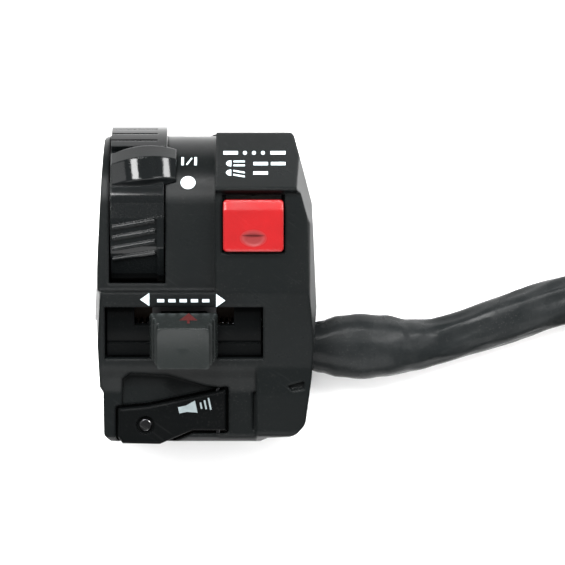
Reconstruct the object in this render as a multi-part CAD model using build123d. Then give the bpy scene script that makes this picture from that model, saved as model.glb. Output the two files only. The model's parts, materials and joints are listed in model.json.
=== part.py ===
from build123d import *
import math
import os

# Left-hand handlebar switch cluster: choke lever, headlamp dimmer, turn signal switch and horn.
# Millimetres. The origin is on the handlebar's axis. X runs along the handlebar towards the
# rider's stem side, Y runs up past the bar, and Z points at the rider. The two housing halves
# meet at Z = 0, and the cluster lies on its front half with its buttons up.

os.makedirs("parts", exist_ok=True)

# Handlebar and envelope, measured from the handlebar's axis
bar_radius = 11.1
ring_wall = 6.3
reach_left = 27.7
reach_right = 27.6
reach_up = 18.1
reach_down = 59.35
reach_rear = 24.0
reach_front = 19.5
wall = 2.2
edge_round = 1.6
fine_round = 0.5
front_round = 5.5
corner_round = 4.0
tail_round = 5.5
overrun = 1.0
clear = 0.3
slip = 0.05

# Outlines as shares of the reaches: sides by height, then height by depth
outline_shares = [
    (-0.92, 0.961), (-1.0, -0.484), (-0.98, -0.492), (-0.955, -0.77), (-0.925, -0.792),
    (-0.92, -0.975), (-0.86, -1.0), (0.489, -1.0), (0.56, -0.985), (0.80, -0.98),
    (0.90, -0.93), (0.958, -0.725), (1.0, -0.434), (0.96, 0.008), (0.79, 1.0),
    (0.09, 1.0), (0.036, 0.961),
]
tail_shares = [(-1.0, 0.44), (-0.98, 0.515), (-0.79, 0.55), (-0.735, 0.61)]
corner_tail_shares = [(-1.0, 0.40), (-0.975, 0.56), (-0.80, 0.64)]
front_shares = [
    (0.985, 0.0), (0.985, -0.52), (0.55, -0.92), (-0.06, -1.0), (-0.88, -1.0), (-1.0, -0.72),
]
crown_shares = [
    (-1.02, -1.1), (-1.02, 0.45), (-0.95, 0.84), (-0.85, 1.05), (0.80, 1.05),
    (0.94, 0.85), (1.01, 0.62), (1.01, -1.1),
]

# Raised block over the dimmer, to the right of the barrel. Drops are measured from the rear reach
block_step = 1.9
roof_drop = 15.4
roof_edge_y = 3.4
face_drop = 2.5
face_step = 1.0
bevel_point_shares = (0.877, 0.01)
bevel_turn = 15.0
bevel_lean = 18.0

# Turn signal panel: its surface leans, and its slot is centred on it
panel_top_y = -22.1
panel_drop = 3.1
step_back = 0.5
turn_lean = 14.0
slot_inset = 2.6
slot_centre_y = -32.2
slot_length = 39.4
slot_height = 13.3
panel_end_y = -41.0

# Raised corner over the lower right screw, with a groove beside it and a notch in its top
corner_width = 15.0
groove_width = 0.9
groove_depth = 0.3
groove_shares = (-0.95, -0.79)
notch_shares = [(0.74, -0.765), (0.89, -0.745), (0.89, -0.775), (0.78, -0.785)]
notch_floor_share = 0.592

# Choke lever
cheek_width = 4.0
lever_width = 13.3
lever_gap = 0.4
hub_radius = 15.0
saddle_radius = 18.6
pad_radius = 20.0
pad_overhang = 0.8
lever_window_low = -19.75
tab_overhang = 3.1
tab_twist = 5.0
tab_sag_share = 0.1
tab_steps = 4
tab_shares = [(44.0, 0.86), (42.0, 1.045), (30.0, 1.08), (14.5, 1.03), (10.5, 0.905), (28.0, 0.78)]
top_pad_angles = [46.0, 67.0, 87.0]
rib_depth = 0.7
rib_width = 1.0
rib_round = 0.3
rib_lean = 10.0
top_rib_angles = [53.0, 62.0, 71.0]
low_rib_shares = [-0.26, -0.395, -0.53, -0.66]
rim_width = 1.7
rim_top_share = -0.16
washer_thick = 0.3
nipple_radius = 1.8
nipple_depth = 5.0
lever_low_shares = [
    (0.22, 0.93), (-0.19, 0.97), (-0.55, 0.90), (-0.89, 0.68), (-0.955, 0.585), (-0.73, 0.38),
]

# Clamp ribs, as stretches along the bar
rib_thick = 2.4
cradle_thick = 1.5
cradle_starts = [1.1, 10.0]
rib_low_y = -17.0

# Dimmer rocker
rocker_inset = 8.2
rocker_width = 15.0
rocker_pivot_y = -5.0
pivot_drop = 3.9
rocker_half = 6.5
rocker_height = 6.6
rocker_skirt = 2.2
rocker_round = 1.0
rocker_gap = 0.7
dimmer_throw = 12.0
pin_radius = 0.8
rocker_crest_share = 0.62
rocker_fall_share = 0.94
dimple_radius = 8.0
dimple_high_y = -2.3
dimple_half = 3.0
stem_half_x = 4.9
stem_half_y = 3.6
stem_drop = 3.0
plunger_radius = 1.45
plunger_top = -1.2
ear_thick = 1.2
ear_half = 2.3
base_inset = 0.5
dimmer_base_low_y = -17.3
dimmer_base_high_y = 6.9
board_drop = 5.4
board_thick = 1.0
dimmer_base_thick = 1.8
contact_pitch = 3.0
rivet_radius = 1.2
rivet_tail_radius = 0.95
rivet_head = 0.3
blade_thick = 0.3
small_screw_radius = 1.25
small_head_radius = 1.9
small_head_thick = 1.0
small_slot = 0.4
post_radius = 2.4
dimmer_screw_y = [-14.6, 4.4]
spring_wire = 0.4

# Turn signal switch, in the leaning frame of its panel
turn_travel = 6.5
neck_half_x = 5.6
neck_half_y = 3.8
neck_low = -7.3
head_low = 2.6
head_high = 10.4
head_half_x = 8.5
head_half_y = 5.8
tip_half_x = 6.55
tip_half_y = 5.2
tip_drop = 1.4
head_steps = 3
head_step_in = 0.35
head_round = 0.8
face_dish_radius = 90.0
face_dish_depth = 0.3
tang_low_y = 1.4
foot_top = -6.0
cover_half_y = 6.4
cover_top = -3.0
cover_radius = 16.0
cover_slot_y = (1.1, 6.2)
cover_ledge_y = (-6.4, -3.3)
cover_ledge_top = -2.4
slider_top = -5.8
slider_low = -11.2
slider_half_x = 8.0
slider_half_y = 5.6
slider_floor = 1.1
turn_base_top = -5.5
turn_base_half_x = 19.2
turn_base_end = 2.4
rail_thick = 1.5
turn_board_top = -12.2
turn_ears = [(14.0, 9.4), (-8.0, -9.4)]
ear_radius = 2.6
ear_depth = 2.0
turn_spring_radius = 1.7
cancel_spring_radius = 2.2
spring_turns = 3
centring_turns = 6

# Horn lever
horn_shares = [
    (-0.79, -0.859), (-0.53, -0.849), (-0.37, -0.834), (0.18, -0.779), (0.18, -0.952),
    (-0.12, -0.952), (-0.315, -0.99), (-0.415, -1.01), (-0.75, -1.007), (-0.79, -0.981),
]
horn_high_share = 0.6
horn_thick = 3.5
horn_round = 0.8
horn_gap = 0.7
horn_well = 6.0
horn_box_inset = 3.2
horn_box_share = 0.29
horn_box_high_y = -43.4
horn_box_drop = 1.8
horn_pin_share = 0.1087
horn_pin_drop = 3.8
knuckle_radius = 1.9
horn_screw_shares = (-0.545, -0.93)
horn_screw_well = 2.25
horn_screw_well_depth = 1.1
horn_screw_head = 1.55
horn_screw_head_thick = 0.8
horn_spring_shares = (-0.614, -0.91)
horn_spring_radius = 2.0
horn_plunger_shares = (-0.325, -0.893)
horn_plunger_radius = 0.9
horn_plunger_hole = 1.9
horn_plunger_gap = 2.0
horn_base_shares = [(-0.722, -0.9604), (0, -0.792)]
horn_base_drop = 5.8
horn_base_thick = 1.8
horn_post_shares = [(-0.65, -0.8357), (-0.0867, -0.92)]
scoop_shares = [
    (-0.76, -0.88), (-0.75, -0.735), (-0.686, -0.71), (-0.343, -0.718), (-0.009, -0.7625),
    (0.127, -0.771), (0.16, -0.80), (-0.35, -0.85),
]
scoop_floor_share = 0.5
scoop_wall_under = 1.2
scoop_wall_over = 1.4

# Housing screws from the front, with brass inserts in the rear half
screw_shares = [(0.435, 0.779), (0.6885, -0.8846), (-0.79, -0.7245)]
screw_radius = 2.0
screw_head_radius = 3.2
screw_head_thick = 2.4
screw_cross_length = 4.0
screw_cross_width = 0.7
screw_seats = [-6.5, -10.0, -10.0]
insert_radius = 2.6
insert_length = 5.5
boss_radius = 3.3
boss_top_shares = [0.396, 0.5, 0.3125]

# Harness: sleeve, clamp, leads and connector
sleeve_radius = 6.25
exit_y = -36.0
exit_z = -9.5
sleeve_inset = 15.6
sleeve_route = [
    (38.0, -36.0, -9.5), (55.0, -35.8, -13.1), (71.0, -31.0, -13.25),
    (93.0, -23.0, -13.25), (127.0, -18.0, -13.25), (162.0, -25.0, -13.25),
    (193.0, -47.0, -13.25), (208.0, -82.0, -13.25), (201.0, -118.0, -13.25),
    (175.0, -143.0, -13.25), (144.3, -147.3, -13.25), (118.5, -135.3, -13.0),
    (104.6, -112.2, -12.7), (104.6, -88.2, -12.7),
]
arc_share = 0.45
clamp_inset = 13.1
clamp_width = 5.0
clamp_thick = 0.8
clamp_foot = 3.8
clamp_foot_z = -13.2
lead_radius = 0.8
lead_ring_radius = 3.4
lead_count = 7
tail_length = 24.0
tail_straight = 6.0
tape_length = 11.0
tape_thick = 0.5
plug_length = 27.0
plug_width = 17.0
plug_height = 13.0
plug_wall = 1.3
plug_depth = 12.0
plug_pins = (4, 2)
terminal_half = 0.9
terminal_root = 6.0
terminal_reach = 5.0
latch_half = 3.4
plug_round = 0.8

# Choke cable port in the front half's lower wall
port_radius = 2.6
port_share = 0.5776
port_z = -8.5
port_boss_radius = 4.2
port_boss_length = 6.0


def block(x, y, z):
    """A box from three (low, high) stretches."""
    size = [high - low for low, high in (x, y, z)]
    middle = [(low + high) / 2 for low, high in (x, y, z)]
    return Pos(*middle) * Box(*size)


def rod(radius, start, end):
    """A round bar from one point to another."""
    line = Line(start, end)
    return extrude(Plane(origin=start, z_dir=line % 0) * Circle(radius), line.length)


def spread(shares, low_u, high_u, low_v, high_v):
    """Turns shares into points: negative shares follow the low reach, positive ones the high."""
    points = []
    for u, v in shares:
        points.append((u * (high_u if u > 0 else low_u), v * (high_v if v > 0 else low_v)))
    return points


def outline(shares):
    return spread(shares, reach_left, reach_right, reach_down, reach_up)


def profile(shares):
    return spread(shares, reach_down, reach_up, reach_front, reach_rear)


def flat(points):
    return make_face(Polyline(*points, close=True))


def round_at(face, points, radius):
    """Rounds the corners of a flat face that lie at the given points."""
    picked = [face.vertices().sort_by_distance((x, y))[0] for x, y in points]
    return fillet(picked, radius)


def along_x(face, start, end):
    return extrude(Plane(origin=(start, 0, 0), x_dir=(0, 1, 0), z_dir=(1, 0, 0)) * face, end - start)


def along_y(face, start, end):
    return extrude(Plane(origin=(0, end, 0), x_dir=(1, 0, 0), z_dir=(0, -1, 0)) * face, end - start)


def along_z(face, start, end):
    return extrude(Pos(0, 0, start) * face, end - start)


def coil(radius, wire, length, turns):
    """An open coil spring that stands on Z = 0."""
    rise = length - wire
    path = Helix(pitch=rise / turns, height=rise, radius=radius)
    section = Plane(origin=path @ 0, z_dir=path % 0) * Circle(wire / 2)
    return Pos(0, 0, wire / 2) * sweep(section, path=path, is_frenet=True)


def save(**nodes):
    for name, shape in nodes.items():
        export_step(shape, f"parts/{name}.step")


# Frames that the pieces share
ring_radius = bar_radius + ring_wall
past = reach_left + reach_right
lever_left = cheek_width - reach_left
lever_right = lever_left + lever_width
rocker_right = reach_right - rocker_inset
rocker_left = rocker_right - rocker_width
rocker_x = rocker_right - rocker_width / 2
base_left = rocker_left + base_inset
base_right = rocker_right - base_inset
block_left = rocker_left - block_step
corner_left = reach_right - corner_width
cheek_rib = (-reach_left, lever_left - lever_gap)
mid_rib = (lever_right + lever_gap, lever_right + lever_gap + rib_thick)
right_rib = (rocker_right, rocker_right + rib_thick)
cradle_ribs = [(lever_left + start, lever_left + start + cradle_thick) for start in cradle_starts]
face_z = reach_rear - face_drop
roof_low_z = reach_rear - roof_drop
rocker_pivot_z = face_z - pivot_drop
dimmer_board_z = rocker_pivot_z - board_drop
panel_top_z = reach_rear - panel_drop
slope = math.tan(math.radians(turn_lean))
slot_centre_x = slot_inset + slot_length / 2 - reach_left
panel_low_z = panel_top_z + (panel_end_y - panel_top_y) * slope
slot_centre_z = panel_top_z + (slot_centre_y - panel_top_y) * slope
panel = Pos(slot_centre_x, slot_centre_y, slot_centre_z) * Rot(turn_lean, 0, 0)
rocker_frame = Pos(rocker_x, rocker_pivot_y, rocker_pivot_z)
rear_side = block((-past, past), (-past * 2, past), (0, past))
front_side = block((-past, past), (-past * 2, past), (-past, 0))
screw_places = outline(screw_shares)
boss_tops = [share * reach_rear for share in boss_top_shares]
notch_floor = notch_floor_share * reach_rear
scoop_floor = scoop_floor_share * reach_rear
scoop_wall_z = (scoop_floor - scoop_wall_under, scoop_floor + scoop_wall_over)
horn_high = horn_high_share * reach_rear
horn_low = horn_high - horn_thick
horn_floor = horn_high - horn_well
horn_box_x = (horn_box_inset - reach_left, horn_box_share * reach_right)
horn_pin_x = horn_pin_share * reach_right
horn_pin_z = horn_high - horn_pin_drop
horn_spring_at, horn_plunger_at = outline([horn_spring_shares, horn_plunger_shares])
horn_posts = outline(horn_post_shares)
horn_base_top = horn_floor - horn_base_drop
port_x = -port_share * reach_left
sleeve_inner_x = reach_right - sleeve_inset
clamp_from = reach_right - clamp_inset


def tail_points(shares):
    """The lower end of the side profile, from the turn panel to the bottom."""
    return [(panel_top_y, panel_top_z), (panel_end_y, panel_low_z)] + profile(shares)[::-1]


def barrel_face():
    """Side profile over the choke lever, front half included."""
    front = profile(front_shares)
    low = [(0, 0), (0, ring_radius), (panel_top_y + step_back, ring_radius)]
    tail = tail_points(tail_shares)
    body = flat(low + tail + front[::-1])
    body = round_at(body, [tail[-1], front[-1], front[-2]], edge_round)
    body = round_at(body, [front[1], front[2]], front_round)
    body = round_at(body, tail[1:-2], tail_round)
    return body + Circle(ring_radius)


def block_face(shares):
    """Side profile over the dimmer, front half included, with its own lower end."""
    front = profile(front_shares)
    roof = [(reach_up, 0), (reach_up, roof_low_z), (roof_edge_y, reach_rear)]
    recess = [(roof_edge_y - face_step, face_z)]
    tail = tail_points(shares)
    body = flat(roof + recess + tail + front[::-1])
    body = round_at(body, [tail[-2], tail[-1], front[-1], front[-2], roof[1]], edge_round)
    body = round_at(body, [roof[2]], fine_round)
    body = round_at(body, tail[1:-2], tail_round)
    return round_at(body, [front[1], front[2]], front_round)


def hull(inset):
    """The outer form, or the hollow inside it when inset is the wall."""
    points = outline(outline_shares)
    sides = round_at(flat(points), [points[0], points[5], points[14]], edge_round)
    sides = round_at(sides, [points[9], points[10]], corner_round)
    sides = offset(sides, amount=-inset)
    points = spread(crown_shares, reach_left, reach_right, reach_front, reach_rear)
    crown = round_at(flat(points), [points[2], points[5], points[6]], edge_round)
    crown = offset(crown, amount=-inset)
    seam = block_left + inset
    corner = corner_left + inset
    barrel = along_x(offset(barrel_face(), amount=-inset), -past, seam)
    raised = along_x(offset(block_face(tail_shares), amount=-inset), seam, corner)
    raised += along_x(offset(block_face(corner_tail_shares), amount=-inset), corner, past)
    body = (barrel + raised) & along_z(sides, -past, past)
    body = body & along_y(crown, -past * 2, past)
    return body - bevel(inset)


def bevel(inset):
    """The slanting cut at the upper right corner of the raised block."""
    share_x, share_y = bevel_point_shares
    corner = Pos(share_x * reach_right, share_y * reach_up, face_z)
    cutter = block((-inset, past), (-past, past), (-past, past))
    return corner * Rot(0, 0, bevel_turn) * Rot(0, -bevel_lean, 0) * cutter & rear_side


def boss(place, radius, low, high):
    return rod(radius, (*place, low), (*place, high))


def clamp_ribs():
    """Slabs across the hollow that seat on the handlebar."""
    return [block(x, (rib_low_y, past), (-past, past)) for x in (cheek_rib, mid_rib, right_rib)]


def horn_pocket():
    """The space for the horn lever and the finger scoop above it."""
    lever = offset(flat(outline(horn_shares)), amount=horn_gap)
    scoop = flat(outline(scoop_shares))
    pocket = along_z(lever, horn_floor, past)
    knuckle = block(
        (horn_pin_x - knuckle_radius - horn_gap, horn_pin_x + knuckle_radius + clear),
        (horn_knuckle()[0] - clear, horn_knuckle()[1] + clear),
        (horn_floor, horn_high),
    )
    return pocket + along_z(scoop, scoop_floor, past) + knuckle


def horn_knuckle():
    """Stretch along Y of the lever's hinge knuckle."""
    high = outline(horn_shares)[3][1] - 2 * horn_gap
    low = outline(horn_shares)[4][1] + clear
    return low, high


def corner_marks():
    """The groove beside the raised corner, and the notch in its top."""
    low_y, high_y = (share * reach_down for share in groove_shares)
    top = tail_shares[1][1] * reach_rear
    groove_x = (corner_left - groove_width, corner_left)
    groove = block(groove_x, (low_y, high_y), (top - groove_depth, past))
    return groove + along_z(flat(outline(notch_shares)), notch_floor, past)


def slot_cut():
    half_x, half_y = slot_length / 2, slot_height / 2
    return panel * block((-half_x, half_x), (-half_y, half_y), (-wall * 2, past))


def make_rear_housing(outer, hollow):
    body = outer - hollow
    for slab in clamp_ribs():
        body += slab & outer
    horn_box_z = (horn_floor - wall, horn_high - horn_box_drop)
    body += block(horn_box_x, (-past * 2, horn_box_high_y), horn_box_z) & outer
    body += block(horn_box_x, (horn_box_high_y, panel_end_y), scoop_wall_z) & outer
    for place, top in zip(screw_places, boss_tops):
        body += boss(place, boss_radius, 0, top) & outer
    for y in dimmer_screw_y:
        low = dimmer_board_z + board_thick + dimmer_base_thick
        body += boss((rocker_x, y), post_radius, low, face_z - overrun)
    for x, y in turn_ears:
        body += panel * rod(ear_radius, (x, y, turn_base_top), (x, y, -wall / 2))
    for place in horn_posts:
        body += boss(place, post_radius, horn_base_top, horn_floor - overrun)
    body = body & rear_side
    body -= rod(bar_radius, (-past, 0, 0), (past, 0, 0))
    window = (lever_left - lever_gap, lever_right + lever_gap)
    body -= block(window, (lever_window_low, past), (0, past))
    body -= slot_cut()
    body -= corner_marks()
    reach = rocker_half + rocker_gap
    window = (rocker_left - clear, rocker_right + clear)
    body -= block(window, (rocker_pivot_y - reach, rocker_pivot_y + reach), (face_z - wall - overrun, past))
    body -= horn_pocket()
    pin_low, pin_high = horn_pin_stretch()
    body -= rod(pin_radius + slip, (horn_pin_x, pin_low, horn_pin_z), (horn_pin_x, pin_high, horn_pin_z))
    body -= boss(horn_plunger_at, horn_plunger_hole, 0, horn_floor + overrun)
    for place in screw_places:
        body -= boss(place, insert_radius, 0, insert_length + clear)
    for x, y, frame, low in small_screws():
        body -= frame * rod(small_screw_radius, (x, y, low), (x, y, low + screw_bite()))
    return body


def horn_pin_stretch():
    low = -reach_down + overrun
    return low, horn_box_high_y - overrun


def screw_bite():
    return board_thick + dimmer_base_thick + wall


def small_screws():
    """Place, frame and seat of the screws that hold the three switch bases."""
    upright = Pos(0, 0, 0)
    rows = [(rocker_x, y, upright, dimmer_board_z) for y in dimmer_screw_y]
    rows += [(x, y, panel, turn_base_top - ear_depth) for x, y in turn_ears]
    rows += [(x, y, upright, horn_base_top - horn_base_thick) for x, y in horn_posts]
    return rows


def small_screw(x, y, frame, low):
    head = rod(small_head_radius, (x, y, low - small_head_thick), (x, y, low))
    head -= block(
        (x - small_head_radius, x + small_head_radius),
        (y - small_slot / 2, y + small_slot / 2),
        (low - small_head_thick, low - small_head_thick / 2),
    )
    shank = rod(small_screw_radius - slip, (x, y, low), (x, y, low + screw_bite() - clear))
    return frame * (head + shank)


def make_front_housing(outer, hollow):
    body = outer - hollow
    for slab in clamp_ribs():
        body += slab & outer
    lever_room = (lever_left - lever_gap, 0, 0), (lever_right + lever_gap, 0, 0)
    body -= rod(hub_radius + clear, *lever_room)
    for x in cradle_ribs:
        cradle = block(x, (rib_low_y, past), (-past, 0)) & outer
        body += cradle - rod(hub_radius + slip, (-past, 0, 0), (past, 0, 0))
    for place in screw_places:
        body += boss(place, boss_radius + wall / 2, -past, 0) & outer
    for y in clamp_feet():
        top = clamp_foot_z - clamp_thick / 2
        body += boss((clamp_from + clamp_width / 2, y), post_radius, -reach_front + overrun, top)
    port_y = -reach_down + port_boss_length
    body += rod(port_boss_radius, (port_x, -past * 2, port_z), (port_x, port_y, port_z)) & outer
    body = body & front_side
    body -= rod(bar_radius, (-past, 0, 0), (past, 0, 0))
    body -= rod(port_radius, (port_x, -past * 2, port_z), (port_x, port_y + overrun, port_z))
    body -= rod(sleeve_radius + slip, (sleeve_inner_x + wall, exit_y, exit_z), (past, exit_y, exit_z))
    for place, seat in zip(screw_places, screw_seats):
        body -= boss(place, screw_radius + clear, -past, overrun)
        body -= boss(place, screw_head_radius + clear, -past, seat)
    for y in clamp_feet():
        x = clamp_from + clamp_width / 2
        body -= boss((x, y), small_screw_radius, -reach_front + wall, 0)
    return body


def make_housing_screws():
    screws = []
    for place, seat in zip(screw_places, screw_seats):
        low = seat - screw_head_thick
        head = boss(place, screw_head_radius, low, seat)
        rim = head.edges().group_by(Axis.Z)[0]
        head = fillet(rim, screw_head_thick / 3)
        for turn in (0, 90):
            bar = Rot(0, 0, turn) * Box(screw_cross_length, screw_cross_width, screw_head_thick)
            head -= Pos(*place, low) * bar
        screws.append(head + boss(place, screw_radius, seat, insert_length - overrun))
    return Compound(children=screws)


def make_threaded_inserts():
    inserts = []
    for place in screw_places:
        sleeve = boss(place, insert_radius - slip / 2, 0, insert_length)
        groove = boss(place, insert_radius, insert_length / 3, insert_length / 2)
        groove -= boss(place, insert_radius - spring_wire, 0, insert_length)
        inserts.append(sleeve - groove - boss(place, screw_radius + slip, 0, insert_length))
    return Compound(children=inserts)


def around(angle, radius):
    """A point in the side view, at an angle up from the lever's rear-most line."""
    turn = math.radians(angle)
    return radius * math.sin(turn), radius * math.cos(turn)


def low_pad_points():
    return [(y * reach_front, z * reach_front) for y, z in lever_low_shares]


def low_pad_rib(share):
    """One slanting ridge across the lower thumb pad."""
    y = share * reach_front
    points = low_pad_points()[1:4]
    for (high_y, high_z), (low_y, low_z) in zip(points, points[1:]):
        if low_y <= y <= high_y:
            fall = (high_z - low_z) / (high_y - low_y)
            z = low_z + (y - low_y) * fall
    ridge = Box(lever_right - lever_left - rim_width - rib_depth, rib_width, 2 * rib_depth)
    ridge = fillet(ridge.edges().filter_by(Axis.X).group_by(Axis.Z)[-1], rib_round)
    middle = (lever_left + lever_right - rim_width) / 2
    return Pos(middle, y, z) * Rot(math.degrees(math.atan(fall)), 0, 0) * Rot(0, 0, rib_lean) * ridge


def lever_tab():
    """The glossy pointer on the lever, domed and twisted a little along the bar."""
    length = lever_right + tab_overhang - lever_left
    sections = []
    for step in range(tab_steps + 1):
        part = step / tab_steps
        scale = pad_radius * (1 - tab_sag_share * (2 * part - 1) ** 2)
        points = [around(angle + tab_twist * part, share * scale) for angle, share in tab_shares]
        place = Plane(origin=(lever_left + length * part, 0, 0), x_dir=(0, 1, 0), z_dir=(1, 0, 0))
        sections.append(place * flat(points))
    tab = loft(sections)
    rim = [edge for edge in tab.edges() if math.hypot(edge.center().Y, edge.center().Z) > saddle_radius]
    return fillet(rim, fine_round)


def make_choke_lever():
    fan = [(0, 0)] + [around(angle, 2 * past) for angle in top_pad_angles]
    top_pad = Circle(pad_radius) & flat(fan)
    saddle = Circle(saddle_radius) & flat([(0, 0), (0, past), (past, past)])
    low_face = flat([(0, 0)] + low_pad_points())
    body = along_x(Circle(hub_radius) + top_pad + saddle + low_face, lever_left, lever_right)
    pad_right = lever_right + pad_overhang
    body += along_x(top_pad - Circle(ring_radius + clear), lever_right, pad_right)
    arcs = body.edges().filter_by(GeomType.CIRCLE)
    arcs = [edge for edge in arcs if abs(edge.radius - pad_radius) < slip]
    body = fillet([edge for edge in arcs if abs(edge.center().X - pad_right) < slip], fine_round)
    top = rim_top_share * reach_front
    rim = offset(low_face, amount=rib_depth) & flat([(top, 0), (top, past), (-past, past), (-past, 0)])
    body += along_x(rim, lever_right - rim_width, lever_right)
    for share in low_rib_shares:
        body += low_pad_rib(share)
    for angle in top_rib_angles:
        bar = Box(lever_right - lever_left - rim_width, rib_width / 2, 2 * rib_depth)
        middle = Pos((lever_left + lever_right - rim_width) / 2, 0, pad_radius)
        body -= Rot(-angle, 0, 0) * middle * bar
    body += lever_tab() - rod(ring_radius + clear, (lever_right, 0, 0), (past, 0, 0))
    body -= rod(bar_radius + clear, (-past, 0, 0), (past, 0, 0))
    nipple = (lever_left + lever_right) / 2
    reach = (bar_radius + hub_radius) / 2 + nipple_radius / 2
    half = nipple_depth / 2
    return body - rod(nipple_radius, (nipple - half, 0, -reach), (nipple + half, 0, -reach))


def make_choke_washer():
    low = lever_left - lever_gap + slip
    return rod(hub_radius - slip, (low, 0, 0), (low + washer_thick, 0, 0)) - rod(
        bar_radius + clear, (-past, 0, 0), (past, 0, 0)
    )


def make_rocker():
    half, top = rocker_half, rocker_height
    face = flat([
        (half - clear, rocker_skirt), (half, top - overrun), (half * rocker_crest_share, top),
        (-half, top * rocker_fall_share), (-half + clear, rocker_skirt),
    ])
    half_x = rocker_width / 2
    head = along_x(face, -half_x, half_x)
    corners = [edge for edge in head.edges() if abs(edge.tangent_at(0).Z) > abs(edge.tangent_at(0).Y)]
    head = fillet(corners, rocker_round)
    crest_y = half * rocker_crest_share
    rim = [edge for edge in head.edges() if edge.center().Z > top - 2 * overrun]
    head = fillet([edge for edge in rim if abs(edge.center().Y - crest_y) > slip], fine_round)
    stem_z = (-stem_drop, rocker_skirt + overrun)
    body = head + block((-stem_half_x, stem_half_x), (-stem_half_y, stem_half_y), stem_z)
    body -= half_moon(top * (1 + rocker_fall_share) / 2)
    body -= rod(pin_radius + slip, (-past, 0, 0), (past, 0, 0))
    return tilt_rocker(body - rod(plunger_radius + slip, (0, 0, -stem_drop), (0, 0, plunger_top)))


def half_moon(surface):
    """The thumb dimple: the lower half of a shallow ball."""
    lift = math.sqrt(dimple_radius ** 2 - dimple_half ** 2)
    ball = Pos(0, dimple_high_y, surface + lift) * Sphere(dimple_radius)
    return ball & block((-past, past), (-past, dimple_high_y), (-past, past))


def tilt_rocker(shape):
    return rocker_frame * Rot(dimmer_throw / 2, 0, 0) * shape


def make_rocker_contact():
    stretch = (-stem_drop - blade_thick, -stem_drop)
    return tilt_rocker(block((-rivet_radius, rivet_radius), (-stem_half_y, stem_half_y), stretch))


def make_rocker_plunger():
    return tilt_rocker(rod(plunger_radius, (0, 0, -stem_drop), (0, 0, plunger_top - clear)))


def make_dimmer_pin():
    return rocker_frame * rod(
        pin_radius,
        (base_left - rocker_x, 0, 0),
        (base_right - rocker_x, 0, 0),
    )


def make_dimmer_base():
    low = dimmer_board_z + board_thick
    high = low + dimmer_base_thick
    plate = block((base_left, base_right), (dimmer_base_low_y, dimmer_base_high_y), (low, high))
    open_x = (base_left + ear_thick + clear, base_right - ear_thick - clear)
    reach = stem_half_y + 2 * overrun
    plate -= block(open_x, (rocker_pivot_y - reach, rocker_pivot_y + reach), (low, high))
    for x in (base_left, base_right - ear_thick):
        ear = (rocker_pivot_y - ear_half, rocker_pivot_y + ear_half)
        plate += block((x, x + ear_thick), ear, (low, rocker_pivot_z + pin_radius * 2))
    plate -= rocker_frame * rod(pin_radius + slip / 2, (-past, 0, 0), (past, 0, 0))
    for y in dimmer_screw_y:
        plate -= boss((rocker_x, y), small_screw_radius, low, high)
    return plate


def make_dimmer_board():
    low = dimmer_board_z
    high = low + board_thick
    board = block((base_left, base_right), (dimmer_base_low_y, dimmer_base_high_y), (low, high))
    for place in dimmer_contact_places():
        board -= boss(place, rivet_radius / 2, low, high)
    for y in dimmer_screw_y:
        board -= boss((rocker_x, y), small_screw_radius, low, high)
    return board


def dimmer_contact_places():
    return [(rocker_x, rocker_pivot_y + step * contact_pitch) for step in (-1, 0, 1)]


def rivet(x, y, low, high):
    """A contact rivet: head on top of the board, shank through it, and a tail below."""
    shank = rod(rivet_radius / 2 - slip, (x, y, low - rivet_head), (x, y, high))
    head = rod(rivet_radius, (x, y, high), (x, y, high + rivet_head))
    tail = rod(rivet_tail_radius, (x, y, low - rivet_head), (x, y, low))
    return shank + head + tail


def make_dimmer_contacts():
    low, high = dimmer_board_z, dimmer_board_z + board_thick
    return Compound(children=[rivet(*place, low, high) for place in dimmer_contact_places()])


def make_turn_knob():
    neck_x = (-neck_half_x, neck_half_x)
    body = block(neck_x, (-neck_half_y, neck_half_y), (neck_low, foot_top))
    body += block(neck_x, (tang_low_y, neck_half_y), (foot_top, head_low + overrun))
    for step in range(head_steps):
        body += loft([head_section(step, step), head_section(step + 1, 0)], ruled=True)
    dish = Pos(0, -tip_drop, head_high + face_dish_radius - face_dish_depth) * Sphere(face_dish_radius)
    return panel * (body - dish)


def head_section(level, steps_in):
    """The knob's outline at one of its levels, with its sides stepped in."""
    share = level / head_steps
    half_x = head_half_x + (tip_half_x - head_half_x) * share - head_step_in * steps_in
    half_y = head_half_y + (tip_half_y - head_half_y) * share
    height = head_low + (head_high - head_low) * share
    return Pos(0, -tip_drop * share, height) * RectangleRounded(2 * half_x, 2 * half_y, head_round)


def make_turn_cover():
    """The curved cover inside the slot, with the narrow slot for the knob's tang."""
    low = cover_radius + turn_base_top - cover_top
    arc = Circle(cover_radius) & flat([
        (-cover_half_y, low), (cover_half_y, low),
        (cover_half_y, cover_radius + overrun), (-cover_half_y, cover_radius + overrun),
    ])
    half_x = turn_base_half_x
    body = along_x(Pos(0, cover_top - cover_radius) * arc, -half_x, half_x)
    body += block((-half_x, half_x), cover_ledge_y, (turn_base_top, cover_ledge_top))
    slot_x = neck_half_x + turn_travel + clear
    return panel * (body - block((-slot_x, slot_x), cover_slot_y, (-past, past)))


def make_turn_slider():
    slider_x, slider_y = (-slider_half_x, slider_half_x), (-slider_half_y, slider_half_y)
    body = block(slider_x, slider_y, (slider_low, slider_top))
    hole_x, hole_y = neck_half_x + clear, neck_half_y + clear
    body -= block((-hole_x, hole_x), (-hole_y, hole_y), (slider_low + slider_floor, slider_top))
    return panel * body


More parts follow.
